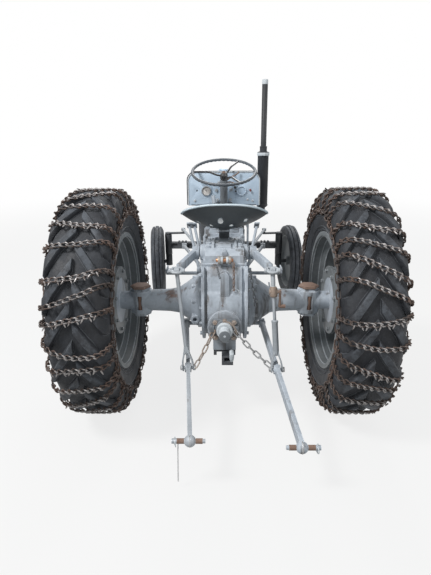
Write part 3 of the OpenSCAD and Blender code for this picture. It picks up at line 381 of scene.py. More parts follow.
@dataclass(frozen=True)
class Rubber:
    """Black tyre rubber, dusty in its hollows, bluish grey on what stands proud from wear and a painted
    sheen, and paler along its edges as a painted highlight.
    """

    name: str
    base: Colour = (0.008, 0.009, 0.012)
    dusty: Colour = (0.036, 0.040, 0.047)
    scuffed: Colour = (0.062, 0.070, 0.082)
    edge: Colour = (0.14, 0.15, 0.165)
    axle: tuple[float, float] = (-0.6525, 0.6113)
    crown: tuple[float, float] = (0.578, 0.594)

    def material(self) -> bpy.types.Material:
        """Builds the material.

        Returns:
            The material.
        """
        s = Shade(self.name)
        radius = s.from_axle(self.axle)
        cloud = s.mask(s.noise(7.0, 6.0), 0.35, 0.68)
        scuff = s.mask(s.noise(45.0, 6.0, 0.7), 0.42, 0.7)
        colour = s.blend((cloud * 0.55 + scuff * 0.35).clamped(), self.base, self.dusty)
        # Tops and upper sides of the bars: wear together with a painted bluish sheen.
        rubbed = s.mask(radius, *self.crown) * s.mask(s.noise(26.0, 6.0, 0.7, shift=(2, 5, 1)), 0.36, 0.62)
        colour = s.blend((rubbed * 0.85).clamped(), colour, self.scuffed)
        # Pale edges of the bars: a painted highlight.
        colour = s.blend(s.edges(0.006) * 0.45, colour, self.edge)
        crazed = s.out(s.node("ShaderNodeTexVoronoi", {"feature": "DISTANCE_TO_EDGE"}, {
            "Vector": s.place(), "Scale": 55.0}))
        height = s.noise(90.0, 5.0) * 0.7 + s.mask(crazed, 0.0, 0.12) * 0.5
        return s.surface(Base_Color=colour, Roughness=(0.62 + cloud * 0.25).clamped(),
                         Normal=s.bump(height, 0.5, 0.0016))


@dataclass(frozen=True)
class GroundSteel:
    """Tyre chain steel: dark and rusty, and rubbed pale where it meets the ground."""

    name: str
    dark: Colour = (0.045, 0.035, 0.031)
    rust: Colour = (0.108, 0.068, 0.052)
    pale: Colour = (0.300, 0.284, 0.278)
    axle: tuple[float, float] = (-0.6525, 0.6113)
    rubbed: tuple[float, float] = (0.599, 0.607)

    def material(self) -> bpy.types.Material:
        """Builds the material.

        Returns:
            The material.
        """
        s = Shade(self.name)
        radius = s.from_axle(self.axle)
        cloud = s.mask(s.noise(9.0, 5.0), 0.38, 0.62)
        pits = s.noise(150.0, 5.0)
        colour = s.blend((cloud * 0.7 + s.mask(pits, 0.4, 0.7) * 0.3).clamped(), self.dark, self.rust)
        bright = s.mask(radius, *self.rubbed) * s.mask(s.noise(70.0, 3.0, shift=(4, 1, 2)), 0.30, 0.55)
        bright = (bright + s.mask(s.noise(48.0, 3.0, shift=(1, 6, 3)), 0.56, 0.66) * 0.35).clamped()
        colour = s.blend(bright, colour, self.pale)
        return s.surface(Base_Color=colour, Roughness=(0.72 - bright * 0.34).clamped(),
                         Metallic=(bright * 0.4).clamped(), Normal=s.bump(pits, 0.4, 0.0012))


@dataclass(frozen=True)
class Plain:
    """A clean smooth finish with a slight change of tone, such as a dial or a knob."""

    name: str
    base: Colour
    roughness: float = 0.4
    metallic: float = 0.0
    coat: float = 0.0

    def material(self) -> bpy.types.Material:
        """Builds the material.

        Returns:
            The material.
        """
        s = Shade(self.name)
        tone = s.mask(s.noise(40.0, 3.0), 0.3, 0.7)
        colour = s.blend(tone * 0.5, self.base, tuple(0.72 * c for c in self.base))
        return s.surface(Base_Color=colour, Roughness=(tone * 0.15 + self.roughness).clamped(),
                         Metallic=self.metallic, Coat_Weight=self.coat)


RUST: Colour = (0.165, 0.070, 0.032)
FINISHES: dict[str, Weathered | Rubber | GroundSteel | Plain] = {
    "paint": Weathered(
        "grey_paint", (0.270, 0.302, 0.342), (0.460, 0.502, 0.550), RUST, 0.24,
        streak=(0.095, 0.082, 0.074), streak_cover=0.75, edge=(0.70, 0.74, 0.78), edge_share=0.9,
        stains=((-0.292, -0.715, 0.685, 0.07), (-0.040, -0.800, 0.868, 0.04),
                (0.040, -0.800, 0.868, 0.035), (0.0, -0.880, 0.660, 0.03), (0.29, -0.70, 0.69, 0.04)),
        # Dark marks round the rocker, below the take-off and low on the housing's sides; the one over the
        # gearbox under the seat is painted shade.
        grime=((0.0, -0.86, 0.53, 0.13), (-0.035, -0.80, 0.83, 0.05), (0.035, -0.80, 0.83, 0.04),
               (0.0, -0.40, 0.93, 0.13), (-0.18, -0.66, 0.53, 0.06), (0.18, -0.66, 0.53, 0.06))),
    "sheet": Weathered(
        "sheet_paint", (0.400, 0.505, 0.620), (0.500, 0.600, 0.700), RUST, 0.10, 14.0,
        streak=(0.290, 0.340, 0.390), streak_cover=0.25, edge=(0.74, 0.80, 0.86), edge_share=0.9,
        roughness=(0.35, 0.6), grain=0.08),
    # Dark grey: the take-off housing's paint, and painted shade on the steering column.
    "dark_grey_and_shade": Weathered(
        "dirty_paint", (0.085, 0.095, 0.105), (0.170, 0.185, 0.200), (0.090, 0.062, 0.046), 0.35, 16.0,
        streak=(0.030, 0.027, 0.025), streak_cover=0.5, edge=(0.42, 0.44, 0.46), edge_share=0.7),
    "cast": Weathered(
        "dark_cast_iron", (0.035, 0.038, 0.043), (0.080, 0.085, 0.092), (0.085, 0.045, 0.028), 0.30,
        streak=(0.022, 0.020, 0.019), edge=(0.20, 0.21, 0.22), grain=0.5),
    "rusty": Weathered(
        "rusty_steel", (0.135, 0.080, 0.058), (0.215, 0.140, 0.105), (0.060, 0.034, 0.024), 0.5, 20.0,
        streak=(0.10, 0.06, 0.04), edge=(0.36, 0.30, 0.26), edge_share=0.7, roughness=(0.7, 0.9),
        grain=0.6),
    "worn": Weathered(
        "worn_chain", (0.400, 0.365, 0.330), (0.230, 0.165, 0.125), (0.120, 0.062, 0.038), 0.42, 30.0,
        streak=(0.14, 0.10, 0.08), edge=(0.66, 0.64, 0.62), edge_share=0.5, roughness=(0.4, 0.7),
        metallic=0.35, grain=0.3),
    "bare": Weathered(
        "bare_steel", (0.420, 0.430, 0.440), (0.300, 0.300, 0.300), RUST, 0.25, 25.0,
        streak=(0.20, 0.17, 0.15), edge=(0.65, 0.65, 0.65), roughness=(0.35, 0.6), metallic=0.6),
    "link": Weathered(
        "link_paint", (0.270, 0.292, 0.315), (0.390, 0.412, 0.436), RUST, 0.26, 12.0,
        streak=(0.14, 0.11, 0.09), edge=(0.66, 0.70, 0.73), edge_share=0.8, roughness=(0.4, 0.65),
        metallic=0.1),
    "rim": Weathered(
        "rim_paint", (0.100, 0.110, 0.116), (0.175, 0.190, 0.198), (0.080, 0.060, 0.048), 0.30, 8.0,
        streak=(0.08, 0.07, 0.06), edge=(0.40, 0.42, 0.44), edge_share=0.7, grain=0.2),
    "seat": Weathered(
        "seat_steel", (0.046, 0.054, 0.060), (0.070, 0.080, 0.086), (0.075, 0.050, 0.036), 0.16, 18.0,
        streak=(0.040, 0.040, 0.040), edge=(0.42, 0.50, 0.56), edge_share=0.9, edge_radius=0.006,
        roughness=(0.45, 0.65), grain=0.2),
    # Pale blue of the seat's rolled rim over the dark pan: a painted highlight.
    "seat_rim_highlight": Weathered(
        "seat_rim_paint", (0.50, 0.60, 0.66), (0.62, 0.70, 0.75), RUST, 0.08, 20.0,
        streak=(0.40, 0.42, 0.44), edge=(0.72, 0.78, 0.82), grain=0.08),
    "black": Weathered(
        "black_heat_paint", (0.008, 0.009, 0.011), (0.018, 0.020, 0.024), (0.060, 0.034, 0.022), 0.10,
        streak=(0.035, 0.033, 0.032), streak_cover=0.2, edge=(0.12, 0.12, 0.125), grain=0.25),
    "band": Weathered(
        "pale_band", (0.42, 0.46, 0.49), (0.55, 0.58, 0.60), RUST, 0.15, 25.0, edge=(0.6, 0.6, 0.6),
        grain=0.2),
    "grip": Weathered(
        "grey_grip", (0.045, 0.052, 0.062), (0.085, 0.098, 0.112), (0.04, 0.038, 0.036), 0.15, 22.0,
        streak=(0.03, 0.03, 0.03), edge=(0.26, 0.29, 0.32), roughness=(0.4, 0.6), grain=0.1),
    "copper": Weathered(
        "coppery_pin", (0.480, 0.230, 0.120), (0.330, 0.150, 0.080), (0.100, 0.050, 0.030), 0.3, 30.0,
        edge=(0.62, 0.42, 0.30), metallic=0.6, roughness=(0.35, 0.6)),
    "tyre": Rubber("tyre_rubber"),
    "ground": GroundSteel("tyre_chain_steel"),
    "cream": Plain("cream_dial", (0.74, 0.70, 0.66), 0.5),
    "ink": Plain("black_marks", (0.012, 0.012, 0.012), 0.6),
    "bezel": Plain("dull_chrome", (0.45, 0.46, 0.47), 0.3, 0.9),
    "key": Plain("red_key", (0.24, 0.050, 0.036), 0.5),
    "knob": Plain("black_knob", (0.016, 0.016, 0.017), 0.35, 0.0, 0.4),
}


class Paints:
    """The finishes as materials, each built when it is first asked for."""

    def __init__(self) -> None:
        """Starts with nothing built."""
        self.made: dict[str, bpy.types.Material] = {}

    def __getitem__(self, key: str) -> bpy.types.Material:
        """Gives a finish's material, which is built the first time.

        Args:
            key: name of the finish.

        Returns:
            The material.
        """
        if key not in self.made:
            self.made[key] = FINISHES[key].material()
        return self.made[key]


# Mesh making


class Shape:
    """A mesh being made, in millimetres with y measured from the rear axle."""

    axle_y: float = 0.0

    def __init__(self) -> None:
        """Starts an empty mesh."""
        self.bm = bmesh.new()

    def skin(self, rings: Sequence[Sequence[Vector]], closed: bool = False) -> None:
        """Joins rings of points with quads.

        Args:
            rings: rings of equal length.
            closed: join the last ring to the first, where otherwise a face closes each end.
        """
        rows = [[self.bm.verts.new(p) for p in ring] for ring in rings]
        for a, b in zip(rows, rows[1:] + rows[:1] if closed else rows[1:]):
            for j in range(len(a)):
                k = (j + 1) % len(a)
                self.bm.faces.new((a[j], a[k], b[k], b[j]))
        if not closed:
            self.bm.faces.new(rows[0][::-1])
            self.bm.faces.new(rows[-1])

    def tube(self, points: Sequence[Point], radius: float | Sequence[float], sides: int = 12,
             closed: bool = False) -> None:
        """Adds a round bar.

        Args:
            points: the line that its middle follows.
            radius: one radius, or one at each point.
            sides: number of its flat sides.
            closed: the line is a ring.
        """
        pts = [Vector(p) for p in points]
        n = len(pts)
        radii = [radius] * n if isinstance(radius, (int, float)) else list(radius)
        rings = []
        normal = None
        for i, p in enumerate(pts):
            before = pts[i - 1] if i or closed else p
            after = pts[(i + 1) % n] if i < n - 1 or closed else p
            tangent = (after - before).normalized()
            if normal is None:
                normal = tangent.orthogonal().normalized()
            normal = (normal - tangent * normal.dot(tangent)).normalized()
            across = tangent.cross(normal)
            rings.append([p + (normal * math.cos(a) + across * math.sin(a)) * radii[i]
                          for a in turns(sides)])
        self.skin(rings, closed)

    def lathe(self, profile: Profile, centre: Point, axis: Point = ACROSS, sides: int = 48,
              closed: bool = False) -> None:
        """Adds a turned shape.

        Args:
            profile: (radius, along) points, where radius 0 at an end closes it.
            centre: where along is 0.
            axis: direction of the axis.
            sides: number of its flat sides.
            closed: the profile is a ring.
        """
        way = Vector(axis).normalized()
        u = way.orthogonal().normalized()
        v = way.cross(u)
        middle = Vector(centre)
        self.skin([[middle + way * along + (u * math.cos(a) + v * math.sin(a)) * max(radius, 0.01)
                    for a in turns(sides)] for radius, along in profile], closed)

    def block(self, low: Point, high: Point) -> None:
        """Adds a box.

        Args:
            low: its corner with the lowest values.
            high: its corner with the highest.
        """
        x, y, z = zip(low, high)
        corners = [(x[0], y[0]), (x[1], y[0]), (x[1], y[1]), (x[0], y[1])]
        self.skin([[Vector((*corner, level)) for corner in corners] for level in z])

    def prism(self, outline: Sequence[Point], lift: Point) -> None:
        """Adds a prism.

        Args:
            outline: points in a plane.
            lift: direction and length of its sides.
        """
        push = Vector(lift)
        points = [Vector(p) for p in outline]
        self.skin([points, [p + push for p in points]])

    def made(self, name: str, finish: bpy.types.Material, bevel: float = 0.0,
             smooth: float = 35.0) -> bpy.types.Object:
        """Ends the mesh.

        Args:
            name: name of the piece.
            finish: its material.
            bevel: width of the bevel on its edges, in millimetres.
            smooth: largest angle that is shaded smooth, in degrees.

        Returns:
            The object, at the origin.
        """
        bmesh.ops.remove_doubles(self.bm, verts=self.bm.verts, dist=MERGE)
        bmesh.ops.recalc_face_normals(self.bm, faces=self.bm.faces)
        bmesh.ops.transform(self.bm, verts=self.bm.verts,
                            matrix=Matrix.Translation((0, Shape.axle_y, 0)) @ Matrix.Scale(MM, 4))
        return ended(self.bm, name, finish, bevel, 40.0, smooth)


def linked(name: str, data: bpy.types.ID) -> bpy.types.Object:
    """Makes an object in the scene.

    Args:
        name: name of the object.
        data: its mesh, lamp or camera.

    Returns:
        The object.
    """
    thing = bpy.data.objects.new(name, data)
    bpy.context.scene.collection.objects.link(thing)
    return thing


def smoothed(piece: bpy.types.Object, angle: float) -> bpy.types.Object:
    """Shades a piece smooth but for its sharp edges.

    Args:
        piece: the piece.
        angle: largest angle that is shaded smooth, in degrees.

    Returns:
        The same piece.
    """
    piece.data.shade_smooth()
    piece.data.set_sharp_from_angle(angle=math.radians(angle))
    return piece


def ended(bm: bmesh.types.BMesh, name: str, finish: bpy.types.Material, bevel: float, sharp: float,
          smooth: float) -> bpy.types.Object:
    """Makes a piece of a mesh.

    Args:
        bm: the mesh, which is freed.
        name: name of the piece.
        finish: its material.
        bevel: width of the bevel on its edges, in millimetres.
        sharp: smallest angle of an edge that is bevelled, in degrees.
        smooth: largest angle that is shaded smooth, in degrees.

    Returns:
        The piece.
    """
    mesh = bpy.data.meshes.new(name)
    bm.to_mesh(mesh)
    bm.free()
    mesh.materials.append(finish)
    piece = linked(name, mesh)
    if bevel:
        chamfer = piece.modifiers.new("bevel", "BEVEL")
        chamfer.width, chamfer.segments = bevel * MM, 2
        chamfer.limit_method, chamfer.angle_limit = "ANGLE", math.radians(sharp)
        applied(piece)
    return smoothed(piece, smooth)


def applied(piece: bpy.types.Object) -> bpy.types.Object:
    """Turns a piece's modifiers into its mesh.

    Args:
        piece: a piece with modifiers.

    Returns:
        The same piece, with a plain mesh.
    """
    bpy.context.view_layer.update()
    depsgraph = bpy.context.evaluated_depsgraph_get()
    mesh = bpy.data.meshes.new_from_object(piece.evaluated_get(depsgraph), depsgraph=depsgraph)
    old = piece.data
    piece.modifiers.clear()
    piece.data = mesh
    if old.users == 0:
        bpy.data.meshes.remove(old)
    return piece


def joined(name: str, parts: Sequence[bpy.types.Object]) -> bpy.types.Object:
    """Joins pieces into one mesh, keeping their materials.

    Args:
        name: name of the joined piece.
        parts: pieces at the origin.

    Returns:
        The joined piece.
    """
    first = parts[0]
    with bpy.context.temp_override(active_object=first, selected_editable_objects=list(parts)):
        bpy.ops.object.join()
    first.name = first.data.name = name
    return first


# Geometry Nodes


class Repeat(Tree):
    """A Geometry Nodes tree that repeats a shape, with named inputs."""

    def __init__(self, name: str, inputs: Sequence[tuple[str, str, object]]) -> None:
        """Starts the tree.

        Args:
            name: name of the tree.
            inputs: name, socket type and default of each input after the geometry.
        """
        super().__init__(bpy.data.node_groups.new(name, "GeometryNodeTree"))
        face = self.tree.interface
        face.new_socket("Geometry", in_out="INPUT", socket_type="NodeSocketGeometry")
        for key, kind, value in inputs:
            socket = face.new_socket(key, in_out="INPUT", socket_type=kind)
            if value is not None:
                socket.default_value = value
        face.new_socket("Finish", in_out="INPUT", socket_type="NodeSocketMaterial")
        face.new_socket("Geometry", in_out="OUTPUT", socket_type="NodeSocketGeometry")
        given = self.node("NodeGroupInput")
        keys = ["Geometry", *(item[0] for item in inputs), "Finish"]
        self.given = {key: self.out(given, key) for key in keys}

    def vector(self, x: Sock | float = 0.0, y: Sock | float = 0.0, z: Sock | float = 0.0) -> bpy.types.Node:
        """A vector of three values."""
        return self.node("ShaderNodeCombineXYZ", None, {0: x, 1: y, 2: z})

    def index(self) -> Sock:
        """The number of each point."""
        return self.out(self.node("GeometryNodeInputIndex"))

    def moved(self, shape: bpy.types.Node | Sock, shift: bpy.types.Node) -> bpy.types.Node:
        """A shape moved by a vector."""
        return self.node("GeometryNodeTransform", None, {"Geometry": shape, "Translation": shift})

    def outward(self) -> bpy.types.Node:
        """The outward direction that each point carries."""
        return self.node("GeometryNodeInputNamedAttribute", {"data_type": "FLOAT_VECTOR"}, {"Name": "Out"})

    def turned(self, rotation: bpy.types.Node, axis: Point, angle: Sock) -> bpy.types.Node:
        """A rotation followed by a turn about an axis of its own."""
        turn = self.node("FunctionNodeAxisAngleToRotation", None, {"Axis": axis, "Angle": angle})
        return self.node("FunctionNodeRotateRotation", {"rotation_space": "LOCAL"}, {
            "Rotation": rotation, "Rotate By": turn})

    def end(self, points: bpy.types.Node, shape: bpy.types.Node, rotation: bpy.types.Node) -> "Repeat":
        """Puts a shape on points, and closes the tree with Realize Instances and Set Material.

        Args:
            points: where the shape goes.
            shape: what is repeated.
            rotation: rotation at each point.

        Returns:
            The tree.
        """
        copies = self.node("GeometryNodeInstanceOnPoints", None, {
            "Points": points, "Instance": shape, "Rotation": rotation})
        real = self.node("GeometryNodeRealizeInstances", None, {0: copies})
        done = self.node("GeometryNodeSetMaterial", None, {
            "Geometry": real, "Material": self.given["Finish"]})
        self.node("NodeGroupOutput", None, {0: done})
        return self

    def run(self, piece: bpy.types.Object, finish: bpy.types.Material, **values: object) -> bpy.types.Object:
        """Runs the tree on a piece and keeps the result as its mesh.

        Args:
            piece: the object whose mesh goes in.
            finish: material of the result.
            values: inputs, named with _ for spaces.

        Returns:
            The piece.
        """
        modifier = piece.modifiers.new("repeat", "NODES")
        modifier.node_group = self.tree
        values = {key.replace("_", " "): value for key, value in values.items()}
        values["Finish"] = finish
        for item in self.tree.interface.items_tree:
            if item.in_out == "INPUT" and item.name in values:
                modifier[item.identifier] = values[item.name]
        return applied(piece)


def around_axle_tree() -> Repeat:
    """Copies of the mesh turned about an axle along X.

    Returns:
        The tree.
    """
    r = Repeat("around_axle", [("Count", "NodeSocketInt", 12), ("Centre", "NodeSocketVector", None)])
    g = r.given
    back = r.node("ShaderNodeVectorMath", {"operation": "SCALE"}, {0: g["Centre"], "Scale": -1.0})
    points = r.node("GeometryNodePoints", None, {"Count": g["Count"], "Position": g["Centre"]})
    turn = r.index() / g["Count"] * (2 * math.pi)
    return r.end(points, r.moved(g["Geometry"], back), r.vector(turn))


def bolts_tree() -> Repeat:
    """A hexagon head on a washer at each vertex, facing along the vertex's Out attribute.

    Returns:
        The tree.
    """
    r = Repeat("bolt_heads", [("Width", "NodeSocketFloat", 0.02), ("Height", "NodeSocketFloat", 0.01),
                              ("Seed", "NodeSocketInt", 7)])
    g = r.given
    width, height = g["Width"], g["Height"]
    corner = width * 0.577
    head = r.node("GeometryNodeMeshCylinder", None, {"Vertices": 6, "Radius": corner, "Depth": height})
    cap = r.node("GeometryNodeMeshCone", None, {
        "Vertices": 6, "Radius Bottom": corner, "Radius Top": corner * 0.8, "Depth": height * 0.16})
    washer = r.node("GeometryNodeMeshCylinder", None, {
        "Vertices": 14, "Radius": width * 0.72, "Depth": height * 0.3})
    raised = r.moved(head, r.vector(z=height * 0.5))
    capped = r.moved(cap, r.vector(z=height))
    join = r.node("GeometryNodeJoinGeometry")
    for part in (washer, raised, capped):
        r.tree.links.new(part.outputs[0], join.inputs[0])
    faced = r.node("FunctionNodeAlignRotationToVector", {"axis": "Z"}, {"Vector": r.outward()})
    spin = r.node("FunctionNodeRandomValue", {"data_type": "FLOAT"}, {2: 0.0, 3: 1.05, "Seed": g["Seed"]})
    points = r.node("GeometryNodeMeshToPoints", None, {"Mesh": g["Geometry"]})
    return r.end(points, join, r.turned(faced, UP, r.out(spin, 1)))


def links_tree() -> Repeat:
    """Chain links along the edges of the mesh, each turned against the last about the line it follows.

    Returns:
        The tree.
    """
    r = Repeat("chain_links", [("Pitch", "NodeSocketFloat", 0.03), ("Width", "NodeSocketFloat", 0.024),
                               ("Wire", "NodeSocketFloat", 0.007), ("First Turn", "NodeSocketFloat", 0.0),
                               ("Quarter", "NodeSocketFloat", math.pi / 2),
                               ("Twist", "NodeSocketFloat", 0.0)])
    g = r.given
    pitch, wire = g["Pitch"], g["Wire"]
    line = r.node("GeometryNodeMeshToCurve", None, {"Mesh": g["Geometry"]})
    spaced = r.node("GeometryNodeResampleCurve", {"mode": "LENGTH"}, {"Curve": line, "Length": pitch})
    inner = g["Width"] - wire
    oval = r.node("GeometryNodeCurvePrimitiveQuadrilateral", {"mode": "RECTANGLE"}, {
        "Width": inner, "Height": pitch + wire})
    round_ends = r.node("GeometryNodeFilletCurve", {"mode": "POLY"}, {
        "Curve": oval, "Count": 2, "Radius": inner * 0.46})
    ring = r.node("GeometryNodeCurvePrimitiveCircle", None, {"Resolution": 5, "Radius": wire * 0.5})
    link = r.node("GeometryNodeCurveToMesh", None, {"Curve": round_ends, "Profile Curve": ring})
    place = r.node("GeometryNodeInputPosition")
    along = r.out(r.node("ShaderNodeSeparateXYZ", None, {0: place}), 1)
    bent = r.node("ShaderNodeVectorRotate", {"rotation_type": "Y_AXIS"}, {
        "Vector": place, "Angle": along / pitch * g["Twist"]})
    twisted = r.node("GeometryNodeSetPosition", None, {"Geometry": link, "Position": bent})
    smooth = r.node("GeometryNodeSetShadeSmooth", None, {"Geometry": twisted})
    faced = r.node("FunctionNodeAlignRotationToVector", {"axis": "Y"}, {
        "Vector": r.node("GeometryNodeInputTangent")})
    upright = r.node("FunctionNodeAlignRotationToVector", {"axis": "Z", "pivot_axis": "Y"}, {
        "Rotation": faced, "Vector": r.outward()})
    angle = g["First Turn"] + r.index() % 2.0 * g["Quarter"]
    return r.end(spaced, smooth, r.turned(upright, FORE, angle))


class Workshop:
    """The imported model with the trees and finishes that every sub-assembly uses."""

    def __init__(self) -> None:
        """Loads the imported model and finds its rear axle."""
        self.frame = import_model()
        self.cad_box = [list(corner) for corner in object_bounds()]
        spin = next(j for j in self.frame["joints"] if j["name"] == "rear_wheel_left_spin")
        Shape.axle_y = spin["pos_m"][1]
        self.paints = Paints()
        self.around = around_axle_tree()
        self.bolts = bolts_tree()
        self.links = links_tree()
        self.pieces = 0

    def mount(self, piece: bpy.types.Object, body: str, slot: str, *replaced: str) -> None:
        """Puts a finished piece on its body.

        Args:
            piece: the finished piece.
            body: body that it rides on.
            slot: material slot of the record; not used.
            replaced: CAD nodes that it stands for.
        """
        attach(piece, body)
        if replaced:
            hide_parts(*replaced)
        self.pieces += 1
        LOG.info("%s on %s, %d faces", piece.name, body, len(piece.data.polygons))

    def soften(self, node: str, finish: str, width: float = 2.0) -> bpy.types.Object:
        """Copies a CAD node with its sharp edges rounded.

        Args:
            node: the CAD node.
            finish: finish of the copy.
            width: width of the rounding in millimetres.

        Returns:
            The copy.
        """
        bm = bmesh.new()
        bm.from_mesh(self.frame["nodes"][node].data)
        bmesh.ops.remove_doubles(bm, verts=bm.verts, dist=CAD_MERGE)
        bmesh.ops.dissolve_limit(bm, angle_limit=math.radians(0.6), verts=bm.verts, edges=bm.edges)
        return ended(bm, node + "_soft", self.paints[finish], width, 38.0, 40.0)

    def mount_soft(self, node: str, finish: str, slot: str, width: float = 2.0,
                   body: str = "chassis") -> None:
        """Puts a CAD node's softened copy in its place."""
        self.mount(self.soften(node, finish, width), body, slot, node)

    def marked(self, name: str, spots: Spots, edges: Sequence[tuple[int, int]] = ()) -> bpy.types.Object:
        """Makes the points that a tree works on.

        Args:
            name: name of the piece.
            spots: place in millimetres and outward direction of each point.
            edges: pairs of points that are joined.

        Returns:
            The points as one mesh.
        """
        mesh = bpy.data.meshes.new(name)
        mesh.from_pydata([metres(place) for place, _ in spots], edges, [])
        facing = mesh.attributes.new("Out", "FLOAT_VECTOR", "POINT")
        for item, (_, way) in zip(facing.data, spots):
            item.vector = Vector(way).normalized()
        return linked(name, mesh)

    def heads(self, name: str, spots: Spots, width: float, height: float, finish: str = "paint",
              seed: int = 3) -> bpy.types.Object:
        """Bolt heads.

        Args:
            name: name of the piece.
            spots: place and facing direction of each head.
            width: width over flats in millimetres.
            height: height of the head in millimetres.
            finish: finish of the heads.
            seed: seed of the turn of each head.

        Returns:
            The heads as one mesh.
        """
        return self.bolts.run(self.marked(name, spots), self.paints[finish], Width=width * MM,
                              Height=height * MM, Seed=seed)

    def chain(self, name: str, runs: Sequence[Spots], pitch: float, width: float, wire: float, finish: str,
              closed: bool = False, turn: float = 45.0, twist: float = 0.0) -> bpy.types.Object:
        """Chain links along runs of points.

        Args:
            name: name of the piece.
            runs: lines of (place, outward direction).
            pitch: spacing of the links in millimetres.
            width: width of a link in millimetres.
            wire: thickness of the wire in millimetres.
            finish: finish of the links.
            closed: each run is a ring.
            turn: turn of the first link against the outward direction, in degrees.
            twist: twist of each link, in degrees; without it every second link stands across the first.

        Returns:
            The chain as one mesh.
        """
        spots: list[tuple[Point, Point]] = []
        edges: list[tuple[int, int]] = []
        for run in runs:
            start = len(spots)
            spots += run
            edges += [(i, i + 1) for i in range(start, len(spots) - 1)]
            if closed:
                edges.append((len(spots) - 1, start))
        return self.links.run(
            self.marked(name, spots, edges), self.paints[finish], Pitch=pitch * MM, Width=width * MM,
            Wire=wire * MM, First_Turn=math.radians(turn), Quarter=0.0 if twist else math.pi / 2,
            Twist=math.radians(twist))


@dataclass(frozen=True)
class Crown:
    """The slope and arch of the bonnet's top, which what lies below it follows."""

    low: float = 1100.0
    rise: float = 105.0
    back: float = 1103.0
    run: float = 767.0
    beyond: float = 1.1
    drop: float = 51.0
    arch: float = 22.0
    arch_half: float = 90.0
    arch_gain: float = 1.4
    arch_edge: float = 117.0
    cuts_x: tuple[float, ...] = (-117.0, -90.0, -60.0, -30.0, 0.0, 30.0, 60.0, 90.0, 117.0)
    cuts_y: tuple[float, ...] = (1300.0, 1500.0, 1700.0, 1830.0)

    def bent(self, piece: bpy.types.Object) -> bpy.types.Object:
        """Cuts a piece in strips and lowers its upper part, more to the front and to the sides.

        Args:
            piece: the bonnet, or what lies below it.

        Returns:
            The piece.
        """
        bm = bmesh.new()
        bm.from_mesh(piece.data)
        cuts = [((x, 0, 0), ACROSS) for x in self.cuts_x] + [((0, y, 0), FORE) for y in self.cuts_y]
        for place, way in cuts:
            bmesh.ops.bisect_plane(bm, geom=bm.verts[:] + bm.edges[:] + bm.faces[:],
                                   plane_co=metres(place), plane_no=way)
        for v in bm.verts:
            high = min(max((v.co.z / MM - self.low) / self.rise, 0), 1)
            along = min(max(((v.co.y - Shape.axle_y) / MM - self.back) / self.run, 0), self.beyond)
            side = min(abs(v.co.x) / MM, self.arch_edge) / self.arch_half
            arch = self.arch * side * side * min(along * self.arch_gain, 1)
            v.co.z -= high * (self.drop * along + arch) * MM
        bm.to_mesh(piece.data)
        bm.free()
        return smoothed(piece, 40.0)


CROWN = Crown()


# Wheels


